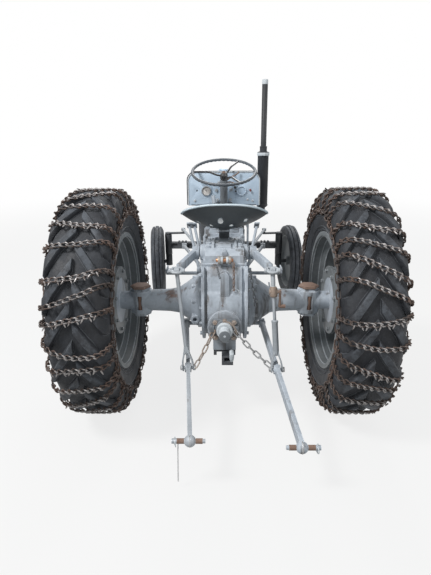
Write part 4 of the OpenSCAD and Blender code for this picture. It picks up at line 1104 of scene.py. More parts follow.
@dataclass
class RearWheel:
    """A rear wheel: bar tread tyre, rim and disc, and a tyre chain with studded cross chains."""

    shop: Workshop
    side: Side
    track: float = 1320.0
    tyre_r: float = 597.0
    tyre_w: float = 290.0
    rim_r: float = 356.0
    rim_w: float = 254.0
    axle_z: float = 611.3
    lug_count: int = 20
    lug_height: float = 24.0
    lug_width: float = 42.0
    cross_count: int = 32
    wire: float = 7.5
    ring_inset: float = 112.0
    ring_points: int = 96
    stud_step: float = 28.0

    @property
    def body(self) -> str:
        """The body that the wheel rides on."""
        return f"rear_wheel_{self.side.word}"

    @property
    def middle(self) -> tuple[float, float, float]:
        """The wheel's middle."""
        return (self.side.value * self.track / 2, 0, self.axle_z)

    def spot(self, x: float, radius: float, angle: float) -> tuple[float, float, float]:
        """A place on the wheel, x outwards from its middle and angle from the top to the rear."""
        return (self.side.value * (self.track / 2 + x), -radius * math.sin(angle),
                self.axle_z + radius * math.cos(angle))

    def lathe_at(self, shape: Shape, profile: Profile, sides: int = 96) -> None:
        """Turns (radius, x) points about the axle, x from the wheel's middle towards the outside."""
        shape.lathe(profile, self.middle, (self.side.value, 0, 0), sides, closed=True)

    def section(self) -> list[tuple[float, float]]:
        """The carcass's section from bead to bead.

        Returns:
            Its (radius, x) points.
        """
        base, half = self.tyre_r - self.lug_height, self.tyre_w / 2
        wall = [(1, 112), (8, 119), (22, 121), (60, half - 8), (110, half)]
        tread = [(-70, half - 2), (-34, half - 12), (-12, half - 38), (-3, 70), (0, 30)]
        right = [(self.rim_r + up, x) for up, x in wall] + [(base + up, x) for up, x in tread]
        return right + [(base + 0.5, 0.0)] + [(r, -x) for r, x in reversed(right)]

    def tyre(self) -> None:
        """The tyre: a turned carcass with bars, side ribs and bead lines."""
        shape = Shape()
        self.lathe_at(shape, self.section() + [(self.rim_r + 1, -90), (self.rim_r + 1, 90)])
        half = self.tyre_w / 2
        for up, x in ((47, half - 10), (30, half - 19), (104, half)):
            radius = self.rim_r + up
            for hand in HANDS:
                self.lathe_at(shape, [(radius - 3, hand * (x - 4)), (radius, hand * (x + 1.5)),
                                      (radius + 3, hand * (x - 4))])
        carcass = shape.made(f"carcass_{self.side.word}", self.shop.paints["tyre"], smooth=50)
        lug = self.lug()
        self.shop.around.run(lug, self.shop.paints["tyre"], Count=self.lug_count, Centre=metres(self.middle))
        piece = joined(f"rear_tyre_tread_{self.side.word}", [carcass, lug])
        self.shop.mount(piece, self.body, "tyre_rubber", f"rear_tyre_{self.side.word}")

    def lug(self) -> bpy.types.Object:
        """Builds one pair of bars, each from near the middle to the shoulder and down the side wall.

        Returns:
            The bars.
        """
        shape = Shape()
        base = self.tyre_r - self.lug_height
        pitch = 2 * math.pi / self.lug_count
        top = self.tyre_r
        # Each row: x, radius of the tip, x of the root, turn in pitches, share of the full width
        rows = [(4, top, 4, 0.0, 0.92), (40, top, 40, 0.27, 0.96), (78, top - 2, 77, 0.55, 1.0),
                (108, top - 9, 102, 0.79, 1.08), (131, top - 24, 118, 0.94, 1.15),
                (143, top - 52, 130, 1.02, 1.1), (146, top - 82, 140, 1.05, 0.95),
                (144, top - 100, 141, 1.06, 0.7)]
        for hand in HANDS:
            rings = []
            for x, tip_r, root_x, turn, width in rows:
                angle = turn * pitch * 1.05 + (0.5 * pitch if hand < 0 else 0.0)
                root_r = min(base - 8, tip_r - 14)
                spread = self.lug_width * width / 2 / tip_r * 1.45
                tip, root = spread * 0.9, spread * 1.3
                rings.append([Vector(self.spot(hand * at_x, r, angle + swing))
                              for at_x, r, swing in ((root_x, root_r, -root), (x, tip_r, -tip),
                                                     (x, tip_r, tip), (root_x, root_r, root))])
            shape.skin(rings)
        return shape.made(f"lug_{self.side.word}", self.shop.paints["tyre"], bevel=3.0, smooth=45)

    def chains(self) -> None:
        """Side chains and cross chains, hung a little unevenly."""
        draw = random.Random(11 if self.side is Side.LEFT else 23)
        shop, word = self.shop, self.side.word
        half = self.tyre_w / 2 + 7
        ring_r = self.tyre_r - self.ring_inset
        sides = []
        for x in (-half, half):
            out = (math.copysign(1, x) * self.side.value, 0, 0)
            ring = []
            for angle in turns(self.ring_points):
                radius = ring_r + 5 * math.sin(self.cross_count * angle / 2) + draw.uniform(-2, 2)
                ring.append((self.spot(x, radius, angle), out))
            sides.append(ring)
        side_chain = shop.chain(f"side_chain_{word}", sides, 38, 27, self.wire, "ground", closed=True,
                                turn=8)
        crosses, studs = [], []
        for k in range(self.cross_count):
            angle = 2 * math.pi * (k + draw.uniform(-0.22, 0.22)) / self.cross_count
            skew, sag = draw.uniform(-0.03, 0.13), draw.uniform(-0.02, 0.07)
            run = []
            for x, radius, way_x, way_r in self.over_tread():
                u = x / half
                swing = skew * u + sag * (1 - u * u) * math.sin(angle) + draw.uniform(-0.004, 0.004)
                at = angle + swing
                way = (self.side.value * way_x, -way_r * math.sin(at), way_r * math.cos(at))
                run.append((self.spot(x, radius, at), way))
            crosses.append(run)
            for n in range(-4, 5) if k % 2 else ():
                x = n * self.stud_step
                u = x / half
                at = angle + skew * u + sag * (1 - u * u) * math.sin(angle)
                studs.append((Vector(self.spot(x, self.tyre_r + 3, at)), at))
        cross_chain = shop.chain(f"cross_chain_{word}", crosses, 31, 29, self.wire + 1.0, "ground", turn=0,
                                 twist=95)
        piece = joined(f"tyre_chain_links_{word}", [side_chain, cross_chain, self.studs(studs)])
        shop.mount(piece, self.body, "chain_steel", f"tyre_chain_{word}")

    def over_tread(self) -> list[tuple[float, float, float, float]]:
        """The way of a cross chain over the tread.

        Returns:
            The x, radius and outward direction of each point.
        """
        half, gap = self.tyre_w / 2, 4.5
        line = [(self.tyre_r - 110, half + 6, 0, 1), (self.tyre_r - 84, half + 6, 0, 1),
                (self.tyre_r - 58, half + 4, 0.2, 1), (self.tyre_r - 30, half - 8, 0.7, 0.7),
                (self.tyre_r - 11, half - 32, 0.95, 0.4), (self.tyre_r - 3, 84, 1, 0.1),
                (self.tyre_r, 56, 1, 0), (self.tyre_r, 28, 1, 0)]
        points = [(x, r + gap * way_r, way_x, way_r) for r, x, way_r, way_x in line]
        middle = [(0.0, self.tyre_r + gap, 0.0, 1.0)]
        return [(-x, r, -wx, wr) for x, r, wx, wr in points] + middle + points[::-1]

    def studs(self, spots: Sequence[tuple[Vector, float]]) -> bpy.types.Object:
        """Makes the short pointed pegs that lean off the cross chains to either side in turn.

        Args:
            spots: place and angle from the top of each peg.

        Returns:
            The pegs as one mesh.
        """
        shape = Shape()
        for n, (place, angle) in enumerate(spots):
            way = Vector((0, -math.sin(angle), math.cos(angle)))
            down = Vector((0, -math.cos(angle), -math.sin(angle)))
            across = down.cross(way).normalized()
            out = (down + across * (0.5 if n % 2 else -0.5) + way * 0.22).normalized()
            start = place + down * 6
            shape.tube([start, start + out * 13, start + out * 22], [4.2, 3.7, 1.0], 6)
        return shape.made(f"studs_{self.side.word}", self.shop.paints["ground"])

    def rim(self) -> None:
        """The rim and disc with rounded edges, clamp and hub nuts, a rolled bead line, pale beads on the
        rim's steps as painted highlights, and the valve.
        """
        shop, word, r = self.shop, self.side.word, self.rim_r
        node = f"rear_rim_{word}"
        out = Vector((self.side.value, 0, 0))
        clamps = [(self.spot(59, r - 66, a), out) for a in turns(8, 0.5)]
        studs = [(self.spot(-14, 76, a), out) for a in turns(8, 0.25)]
        shape = Shape()
        lip = self.rim_w / 2 - 3
        for x in (-lip, lip):
            self.lathe_at(shape, bead(r + 15, 3.4, x))
        valve = Vector(self.spot(66, r - 40, 0.4))
        for start, end, thick in ((0, 26, 4.0), (26, 36, 5.5)):
            shape.tube([valve + out * start, valve + out * end], thick, 8)
        trim = shape.made(f"rim_trim_{word}", shop.paints["rim"])
        # Beads on the rim's steps in the paler link paint: painted highlights along the steps.
        shape = Shape()
        for x, radius in ((-119, r + 17), (-116, r - 6), (-74, r - 7), (-52, r - 39), (52, r - 39),
                          (74, r - 7), (119, r + 17)):
            self.lathe_at(shape, bead(radius, 2.6, x))
        beads = shape.made(f"rim_beads_{word}", shop.paints["link"])
        parts = [shop.soften(node, "rim", 1.6), trim, beads,
                 shop.heads(f"clamp_nuts_{word}", clamps, 26, 16, "rim"),
                 shop.heads(f"hub_nuts_{word}", studs, 22, 14, "rim", 5)]
        shop.mount(joined(f"rear_rim_dressed_{word}", parts), self.body, "rim_paint", node)


@dataclass
class FrontWheel:
    """A front wheel: three rib tyre, pressed disc, nuts and hub cap, turned with its knuckle."""

    shop: Workshop
    side: Side
    kingpin: tuple[float, float] = (510.0, 1778.0)
    turn: float = 6.0
    offset: float = 100.0
    tyre_r: float = 330.0

    def along(self, x: float) -> Vector:
        """A place on the wheel's axle.

        Args:
            x: distance from the wheel's middle towards the outside.

        Returns:
            The place.
        """
        turn = Matrix.Rotation(math.radians(self.turn), 3, "Z")
        out = turn @ Vector((self.side.value * (self.offset + x), 0, self.tyre_r))
        return out + Vector((self.side.value * self.kingpin[0], self.kingpin[1], 0))

    def build(self) -> None:
        """Dresses the wheel."""
        shop, word = self.shop, self.side.word
        body = f"front_wheel_{word}"
        axle = (self.along(1) - self.along(0)).normalized()
        shop.mount_soft(f"front_tyre_{word}", "tyre", "tyre_rubber", 2.5, body)
        up = Vector(UP)
        side = axle.cross(up)
        nuts = [(self.along(21) + (up * math.cos(a) + side * math.sin(a)) * 68, axle) for a in turns(6)]
        shape = Shape()
        shape.lathe([(37, 49), (36, 55), (26, 62), (10, 66), (0, 67)], self.along(0), axle, 32)
        cap = shape.made(f"hub_cap_{word}", shop.paints["rim"])
        parts = [shop.soften(f"front_rim_{word}", "rim", 1.4), cap,
                 shop.heads(f"wheel_nuts_{word}", nuts, 21, 13, "rim")]
        shop.mount(joined(f"front_rim_dressed_{word}", parts), body, "rim_paint", f"front_rim_{word}")


# Castings and what is bolted to them


@dataclass
class Castings:
    """The rear axle, gearbox, engine and front axle, with rounded edges and their bolts."""

    shop: Workshop
    painted: tuple[str, ...] = ("centre_housing", "lift_cover", "axle_housing_left", "axle_housing_right",
                                "gearbox", "front_support", "seat_spring", "pedals")
    dark: tuple[str, ...] = ("engine", "front_axle", "rear_hitch")
    # The steering column's dark grey paint is painted shade.
    special: tuple[tuple[str, str], ...] = (("pto_housing", "dark_grey_and_shade"), ("steering_column", "dark_grey_and_shade"))
    flange_x: float = 118.0
    rear_face: float = -165.0
    cover_top: float = 918.0
    trumpet_z: float = 611.3
    rocker: tuple[float, float, float] = (0.0, -150.0, 880.0)
    take_off: tuple[float, float, float] = (0.0, -245.0, 540.0)
    cylinders: tuple[float, ...] = (1235.0, 1340.0, 1445.0, 1550.0)
    lead_end: float = 1460.0
    lead_middle: float = 1392.0
    brake_x: float = 572.0
    pad_x: float = 460.0

    def build(self) -> None:
        """Rounds and paints the castings and adds what is bolted on."""
        shop = self.shop
        for node in self.painted:
            shop.mount_soft(node, "paint", "body_paint", 2.5)
        for node in self.dark:
            shop.mount_soft(node, "cast", "cast_iron")
        for node, finish in self.special:
            shop.mount_soft(node, finish, "body_paint")
        for node, finish, slot in (("fuel_tank", "paint", "body_paint"), ("radiator", "cast", "cast_iron")):
            shop.mount(CROWN.bent(shop.soften(node, finish)), "chassis", slot, node)
        shop.mount_soft("radius_rods", "link", "sheet_paint")
        shop.mount_soft("top_link_rocker", "worn", "chain_steel")
        self.housing_bolts()
        self.housing_marks()
        self.gearbox_bolts()
        self.engine_parts()
        self.axle_parts()

    def housing_bolts(self) -> None:
        """Bolts of the housing, its cover, the trumpets and the power take-off."""
        shop = self.shop
        top = [(-84, 125), (-40, 152), (-84, 40), (-84, -38), (34, 158), (84, 96), (84, 12), (84, -42)]
        cover = [((x, y, self.cover_top), UP) for x, y in top]
        cover += [((s * 106, y, 852), UP) for s in HANDS for y in (-96, -10, 75, 160, 250)]
        edge = ((-160, 803), (-161, 727), (-163, 625), (-158, 538), (-120, 466), (255, 790), (262, 690),
                (262, 590), (255, 490))
        flange = [((s * self.flange_x, y, z), (s, 0, 0)) for s in HANDS for y, z in edge]
        trumpet = [((s * 150, 130 * math.cos(a), self.trumpet_z + 130 * math.sin(a)), (s, 0, 0))
                   for s in HANDS for a in turns(10, 0.5)]
        round_cap = ((-48, 36), (0, 44), (48, 36), (56, -14), (46, -48), (-46, -48), (-56, -14))
        take_off = [((x, -237, 540 + z), AFT) for x, z in round_cap]
        parts = [shop.heads("cover_bolts", cover, 19, 9, "paint", 4),
                 shop.heads("flange_bolts", flange, 18, 11, "paint", 5),
                 shop.heads("trumpet_bolts", trumpet, 19, 20, "paint", 6),
                 shop.heads("take_off_bolts", take_off, 19, 9, "worn", 7)]
        shop.mount(joined("housing_bolts", parts), "chassis", "body_paint")

    def housing_marks(self) -> None:
        """Rusty seams, the filler's ring, bushes and pin of the rocker, the hook and the hanging chains."""
        shop = self.shop
        shape = Shape()
        y = self.rear_face - 0.6
        shape.tube([(-18, y, 683), (-17, y, 640), (-18, y, 567)], 1.6, 6)
        shape.tube([(-87, y, 678), (0, y, 679), (87, y, 678)], 1.5, 6)
        shape.tube([(53, y, 650), (54, y, 606)], [2.6, 0.8], 6)
        seams = shape.made("rusty_seams", shop.paints["rusty"])
        shape = Shape()
        shape.lathe(bead(22, 3), (53, self.rear_face - 6, 712), AFT, 32, closed=True)
        for s in HANDS:
            bush = [(10.5, 8), (17, 8), (18, 10), (18, 19), (16, 21), (10.5, 21)]
            shape.lathe([(r, s * x) for r, x in bush], self.rocker, ACROSS, 24, closed=True)
        bushes = shape.made("pale_bushes", shop.paints["band"])
        shape = Shape()
        shape.lathe(drum(9.2, 44, 1.2), self.rocker, ACROSS, 20)
        pin = shape.made("rocker_pin", shop.paints["copper"])
        shape = Shape()
        shape.tube([(36, -206, 396), (36, -226, 402), (37, -240, 412), (37, -250, 402), (37, -250, 380),
                    (37, -243, 362)], [11, 12, 13, 13, 12, 8], 14)
        shape.lathe([(0, 0), (33, 0), (41, 0), (41.4, 3), (41.4, 20), (39, 22), (36, 21.5), (0, 21.5)],
                    self.take_off, AFT, 40)
        shape.lathe([(0, 21), (27, 21), (28.6, 23), (28.6, 76), (26, 79), (0, 80.3)], self.take_off, AFT, 32)
        pale = shape.made("hook_and_cap", shop.paints["band"])
        shape = Shape()
        shape.tube([(7, -242, 584), (26, -245, 578), (46, -246, 560), (58, -246, 538), (62, -244, 512)],
                   6.0, 8)
        strap = shape.made("bent_strap", shop.paints["worn"])
        dark = [((-35, -176, 842), AFT), ((-30, -180, 822), AFT), ((-25, -180, 800), AFT)]
        rusty = [((46, -172, 862), AFT), ((47, -178, 800), AFT), ((47, -180, 738), AFT)]
        out = (0.5, -1, 0)
        right = [((131, -176, 822), out), ((140, -190, 760), out), ((150, -192, 700), out),
                 ((157, -190, 657), out)]
        chains = [shop.chain("dark_chain", [dark], 15, 12, 3.6, "cast"),
                  shop.chain("rusty_chain", [rusty], 19, 15, 4.4, "rusty"),
                  shop.chain("side_hanging_chain", [right], 20, 15, 4.4, "cast")]
        parts = [seams, bushes, pin, pale, strap, *chains]
        shop.mount(joined("housing_small_parts", parts), "chassis", "body_paint")

    def gearbox_bolts(self) -> None:
        """Bolts of the gearbox's joint flanges, bell housing and hatch."""
        shop = self.shop
        joint, bell = (500, 580, 660, 740, 815), (-130, -70, 0, 70, 130)
        sides = ((714, FORE), (700, AFT))
        spots = [((s * 125, y, z), way) for y, way in sides for s in HANDS for z in joint]
        spots += [((x, 305, 856), UP) for x in (-29, 29)]
        spots += [((s * 138, y, 610 + z), AFT) for y in (862, 1146) for s in HANDS for z in bell]
        spots += [((s * 105, 310, z), (s, 0, 0)) for s in HANDS for z in (770, 640, 500)]
        shop.mount(shop.heads("gearbox_bolts", spots, 17, 9, "paint", 9), "chassis", "body_paint")

    def engine_parts(self) -> None:
        """Head nuts, plugs with leads, cover bolts, pipes and the filler cap of the engine."""
        shop = self.shop
        spots = [((s * 72, y, 930), UP) for s in HANDS for y in (1190, 1288, 1392, 1498, 1600)]
        spots += [((0, y, 960), UP) for y in (1290, 1540)]
        nuts = shop.heads("head_nuts", spots, 18, 14, "cast", 11)
        shape = Shape()
        for y in self.cylinders:
            shape.tube([(92, y, 905), (112, y, 918), (128, y, 926)], [9, 7, 5], 8)
            end = self.lead_end + (y - self.lead_middle) * 0.05
            shape.tube([(128, y, 926), (150, y + 10, 915), (160, (y + self.lead_end) / 2, 870),
                        (150, end, 810)], 3.4, 6)
        shape.tube([(136, 1300, 700), (150, 1260, 690), (158, 1190, 700), (158, 1150, 760)], 5, 8)
        shape.tube([(-158, 1480, 800), (-130, 1500, 850), (-100, 1500, 880)], 5, 8)
        leads = shape.made("leads_and_pipes", shop.paints["black"])
        shape = Shape()
        shape.lathe([(0, 0), (30, 0), (34, 3), (34, 12), (30, 16), (12, 18), (0, 18)], (0, 1250, 960),
                    UP, 28)
        shape.lathe([(34, 6), (42, 6), (42, 20), (38, 25), (0, 28)], (0, 1830, 1120), UP, 28)
        caps = shape.made("filler_caps", shop.paints["bare"])
        shop.mount(joined("engine_small_parts", [nuts, leads, caps]), "chassis", "cast_iron")

    def axle_parts(self) -> None:
        """Bolts of the axle pads, the trumpets' plates and the front axle's clamps."""
        shop = self.shop
        z = self.trumpet_z
        spots = [((s * self.brake_x, 160 * math.cos(a), z + 160 * math.sin(a)), (-s, 0, 0))
                 for s in HANDS for a in turns(8, 0.5)]
        shape = Shape()
        for s in HANDS:
            for low, high, reach in ((76, 84, 57), (84, 88, 50)):
                hexagon = [(s * self.pad_x + reach * math.cos(a), reach * math.sin(a), z + low)
                           for a in turns(6)]
                shape.prism(hexagon, (0, 0, high - low))
            shape.tube([(s * self.pad_x, -49, z - 48), (s * self.pad_x, -49, z + 48)], 10, 12)
        rusty = shape.made("rusty_pads", shop.paints["rusty"], bevel=1.5)
        # The trumpets' plates and their bolts in the dark rim paint: painted shade inside the wheels.
        pads = shop.heads("plate_bolts", spots, 18, 12, "rim", 13)
        shape = Shape()
        for s in HANDS:
            shape.lathe([(120, 12), (124, -1.3), (186, -1.3), (186.5, 13)], (s * self.brake_x, 0, z),
                        (s, 0, 0), 64, closed=True)
        plates = shape.made("brake_plates", shop.paints["rim"])
        front = [((s * x, y, 514), UP) for s in HANDS for x in (350, 380, 410) for y in (1766, 1790)]
        clamps = shop.heads("front_axle_bolts", front, 16, 9, "cast", 14)
        shape = Shape()
        for s in HANDS:
            shape.tube([(s * 250, 62, 690), (s * 250, 0, 672), (s * 250, -62, 640)], 4.5, 8)
        pipes = shape.made("trumpet_pipes", shop.paints["paint"])
        shop.mount(joined("axle_bolts", [pads, rusty, plates, clamps, pipes]), "chassis", "body_paint")


# Sheet metal, seat and controls


@dataclass
class SheetMetal:
    """Bonnet, grille and dash, with the gauges, key, knobs and screws of the dash."""

    shop: Workshop
    dash_y: float = 985.0
    gauge_x: float = 126.0
    gauge_z: float = 1081.0
    gauge_r: float = 30.0
    dash_half: float = 256.5
    dash_top: float = 1212.5
    dash_low: float = 977.0
    dash_corner: float = 62.0
    crest: float = 1208.5
    nose: int = 1880

    def build(self) -> None:
        """Dresses the sheet metal."""
        shop = self.shop
        shop.mount_soft("dash", "sheet", "sheet_paint", 1.2)
        self.gauges()
        self.dash_parts()
        bonnet = joined("bonnet_dressed", [shop.soften("bonnet", "sheet", 1.2), self.bonnet_trim()])
        shop.mount(CROWN.bent(bonnet), "bonnet", "sheet_paint", "bonnet")
        shop.mount(CROWN.bent(shop.soften("grille", "sheet", 1.2)), "bonnet", "sheet_paint", "grille")

    def gauges(self) -> None:
        """Two round gauges: a cream dial with marks on the left and a plain grey one on the right."""
        shop, r = self.shop, self.gauge_r
        parts = []
        for s, dial, cover in ((-1, "cream", True), (1, "sheet", False)):
            centre = (s * self.gauge_x, self.dash_y, self.gauge_z)
            shape = Shape()
            shape.lathe([(0, 0.4), (r - 0.5, 0.4), (r - 0.5, 2.4), (0, 2.4)], centre, AFT, 40)
            parts.append(shape.made(f"dial_{s}", shop.paints[dial]))
            shape = Shape()
            shape.lathe(bead(r + 1.5, 4.5, 7, 8, 3.6), centre, AFT, 48, closed=True)
            parts.append(shape.made(f"bezel_{s}", shop.paints["bezel" if cover else "sheet"]))
            if cover:
                parts.append(self.dial_marks(centre))
        shop.mount(joined("gauges", parts), "chassis", "sheet_paint")

    def dial_marks(self, centre: Point) -> bpy.types.Object:
        """Makes the marks and the needle of the cream dial.

        Args:
            centre: the dial's middle.

        Returns:
            The marks and the needle as one mesh.
        """
        shape = Shape()
        x0, y0, z0 = centre
        for k in range(11):
            a = math.radians(-130 + 26 * k)
            ends = [self.gauge_r * (0.62 if k % 5 == 0 else 0.74), self.gauge_r * 0.88]
            shape.tube([(x0 + r * math.sin(a), y0 - 2.7, z0 + r * math.cos(a)) for r in ends], 0.8, 4)
        shape.tube([(x0 + 3, y0 - 3.4, z0 - 4), (x0 - 13, y0 - 3.4, z0 + 15)], [1.3, 0.4], 5)
        shape.lathe([(0, 0), (3.4, 0), (3, 2), (0, 2)], (x0, y0 - 2.4, z0), AFT, 12)
        return shape.made("dial_marks", self.shop.paints["ink"])

    def dash_parts(self) -> None:
        """Screws, column bolts, the pull knob, the key, and a dark strip round the dash with dark lines at
        its foot as painted shade.
        """
        shop, y = self.shop, self.dash_y
        bolts = ((-52, 1084), (52, 1088), (-46, 1015), (46, 1016))
        pale = shop.heads("column_bolts", [((x, y - 5, z), AFT) for x, z in bolts], 18, 9, "link", 17)
        screws = ((-210, 1010), (209, 1009), (172, 1017), (-37, 1140), (39, 1140))
        small = shop.heads("dash_screws", [((x, y, z), AFT) for x, z in screws], 13, 5, "link", 18)
        shape = Shape()
        shape.lathe([(0, 0), (5, 0), (5, 14), (9, 17), (10, 22), (9, 27), (0, 29)], (81, y, 1107), AFT, 16)
        shape.lathe([(0, 0), (4, 0), (4, 12), (6, 15), (6, 19), (0, 20)], (86, y, 1079), AFT, 12)
        knobs = shape.made("pull_knobs", shop.paints["knob"])
        shape = Shape()
        shape.lathe([(0, 0), (7, 0), (8, 2), (7, 5), (0, 6)], (192, y, 1085), AFT, 20)
        shape.block((190, y - 22, 1074), (194, y - 6, 1094))
        key = shape.made("key", shop.paints["key"], bevel=1.0)
        shape = Shape()
        low, r = self.dash_low, self.dash_corner
        x, z = self.dash_half - r, self.dash_top - r
        edge = [(-self.dash_half, low)]
        edge += [(-x - r * math.cos(a), z + r * math.sin(a)) for a in turns(32)[:9]]
        edge += [(-x, z) for x, z in reversed(edge)]
        shape.tube([(x, y - 1, z) for x, z in edge], 4.0, 8)
        strip = shape.made("dash_edge", shop.paints["band"])
        # A black tube just behind the dash's edge and thin black lines along its foot: painted shade at the
        # edges of the dash.
        shape = Shape()
        shape.tube([(x * 1.022, y + 6, z + 3) for x, z in edge], 5.5, 8)
        shape.tube([(-235, y - 1, low + 3), (-80, y - 1, low + 4)], 2.2, 6)
        shape.tube([(80, y - 1, low + 4), (235, y - 1, low + 3)], 2.2, 6)
        dark = shape.made("dash_dark_strip", shop.paints["black"])
        parts = [pale, small, knobs, key, strip, dark]
        shop.mount(joined("dash_small_parts", parts), "chassis", "sheet_paint")

    def bonnet_trim(self) -> bpy.types.Object:
        """Builds the bonnet's middle crease, its side beads and the cap on its top.

        Returns:
            The trim, before the crown is bent.
        """
        shape = Shape()
        crease = [(0, y, self.crest - max(y - self.nose, 0) ** 2 / 110) for y in range(1106, 1941, 26)]
        shape.tube(crease, 3.0, 8)
        for s in HANDS:
            shape.tube([(s * 212.5, y, 942) for y in (1108, 1400, 1740)], 3.0, 8)
        shape.lathe([(0, 0), (34, 0), (38, 4), (36, 12), (24, 19), (0, 22)], (0, 1330, 1206), UP, 32)
        return shape.made("bonnet_trim", self.shop.paints["sheet"])


@dataclass
class Seat:
    """The pressed steel pan seat with its rolled rim and holes."""

    shop: Workshop
    centre: tuple[float, float, float] = (0.0, 110.0, 990.0)
    half: tuple[float, float] = (235.0, 195.0)
    back: float = 160.0
    wall: float = 4.0
    square: float = 0.22
    holes: tuple[tuple[float, float, float], ...] = (
        (-20.0, -108.0, 14.0), (-138.0, -56.0, 10.0), (-70.0, -70.0, 10.0), (36.0, -80.0, 10.0),
        (111.0, -92.0, 10.0), (60.0, 60.0, 10.0), (-60.0, 60.0, 10.0))

    def point(self, u: float, angle: float, lift: float = 0.0) -> Vector:
        """A place on the pan.

        Args:
            u: share of the way from the middle to the rim.
            angle: angle from the right towards the front.
            lift: height above the pan's underside.

        Returns:
            The place.
        """
        s = math.sin(angle)
        z = self.back * u ** 2.2 * (0.5 - 0.4 * s + 0.1 * s * s)
        c = math.cos(angle)
        across = math.copysign(abs(c) ** (1 - self.square * u), c)
        along = math.copysign(abs(s) ** (1 - self.square * u), s)
        return Vector((self.centre[0] + self.half[0] * u * across, self.centre[1] + self.half[1] * u * along,
                       self.centre[2] + z + lift))

    def pan(self) -> bpy.types.Object:
        """Builds the pan as a closed shell, with its holes cut.

        Returns:
            The pan.
        """
        spokes, rings = 72, 16
        shape = Shape()
        levels = [(0.0, k) for k in range(rings + 1)] + [(self.wall, k) for k in range(rings, -1, -1)]
        loops = [[self.point(max(k / rings, 0.02), a, lift) for a in turns(spokes)] for lift, k in levels]
        shape.skin(loops)
        pan = shape.made("pan", self.shop.paints["seat"], smooth=50)
        shape = Shape()
        for x, y, radius in self.holes:
            shape.lathe([(0, -60), (radius, -60), (radius, 150), (0, 150)],
                        (self.centre[0] + x, self.centre[1] + y, self.centre[2]), (0, -0.25, 1), 20)
        cutter = shape.made("pan_cutter", self.shop.paints["seat"])
        cut = pan.modifiers.new("holes", "BOOLEAN")
        cut.operation, cut.object, cut.solver = "DIFFERENCE", cutter, "EXACT"
        applied(pan)
        bpy.data.objects.remove(cutter)
        return smoothed(pan, 45.0)

    def build(self) -> None:
        """The pan with its rolled rim, painted pale as a highlight, and the bolts of its spring."""
        shop = self.shop
        shape = Shape()
        # The rolled rim is painted pale as a highlight along the seat's edge.
        shape.tube([self.point(0.985, a, self.wall / 2 + 1) for a in turns(96)], 5.5, 10, closed=True)
        rolled = shape.made("rolled_rim", shop.paints["seat_rim_highlight"])
        spots = [((x, self.centre[1], 995), UP) for x in (-16, 16)]
        bolts = shop.heads("seat_bolts", spots, 17, 7, "cast", 21)
        shop.mount(joined("seat_pan", [self.pan(), rolled, bolts]), "chassis", "seat_steel", "seat")


@dataclass
class SteeringWheel:
    """The steering wheel: a scalloped rim, bent spokes and a hub with its nut."""

    shop: Workshop
    hub: tuple[float, float, float] = (0.0, 879.0, 1224.0)
    tilt: float = 18.0
    rim_r: float = 217.5
    tube_r: float = 11.0
    hub_drop: float = 26.0
    bend: float = 108.0
    grips: int = 44

    def at(self, x: float, y: float, z: float) -> Vector:
        """A place from the wheel's own middle, z along its axis."""
        return Vector(self.hub) + Matrix.Rotation(math.radians(self.tilt), 3, "X") @ Vector((x, y, z))

    def rim(self) -> bpy.types.Object:
        """Builds the rim with finger grips on its underside.

        Returns:
            The rim.
        """
        shape = Shape()
        rings = []
        for a in turns(self.grips * 6):
            dent = 1.5 * math.cos(self.grips * a)
            ring = []
            for b in turns(12):
                low = max(0.0, -math.sin(b))
                r = self.tube_r - 0.6 - low * (1.5 - dent)
                out = self.rim_r + r * math.cos(b)
                ring.append(self.at(out * math.cos(a), out * math.sin(a), r * math.sin(b)))
            rings.append(ring)
        shape.skin(rings, closed=True)
        return shape.made("wheel_rim", self.shop.paints["grip"], smooth=60)

    def build(self) -> None:
        """Builds the wheel and the throttle lever under it."""
        shop = self.shop
        shape = Shape()
        for degrees in (60, 180, 300):
            c, s = math.cos(math.radians(degrees)), math.sin(math.radians(degrees))
            line = [(16, -self.hub_drop - 6), (60, -self.hub_drop + 6), (92, -5), (self.bend + 6, -0.5),
                    (160, 0), (self.rim_r - 4, 0)]
            shape.tube([self.at(r * c, r * s, z) for r, z in line], 6.6, 10)
        axis = self.at(0, 0, 1) - self.at(0, 0, 0)
        shape.lathe([(11.4, -50), (25, -50), (27, -47), (27, -24), (24, -19), (16, -7), (11.4, -6)],
                    self.hub, axis, 32, closed=True)
        spokes = shape.made("wheel_spokes", shop.paints["knob"])
        shape = Shape()
        shape.lathe([(0, -12), (14, -12), (14, -4), (12, -1), (0, 0)], self.hub, axis, 6)
        shape.lathe([(0, -1), (7, -1), (6, 5), (0, 6)], self.hub, axis, 12)
        nut = shape.made("wheel_nut", shop.paints["rusty"], bevel=0.8)
        shop.mount(joined("steering_wheel_built", [self.rim(), spokes, nut]), "steering_wheel", "wheel_grip",
                   "steering_wheel")
        shape = Shape()
        shape.tube([(24, 905, 1168), (50, 925, 1182), (84, 950, 1196), (100, 962, 1206), (108, 966, 1216)],
                   [6, 5, 4.5, 5, 5.5], 8)
        shape.tube([(20, 900, 1150), (44, 906, 1152), (70, 914, 1146)], [5, 4.5, 4.5], 8)
        shop.mount(shape.made("throttle_lever", shop.paints["rusty"]), "chassis", "body_paint")


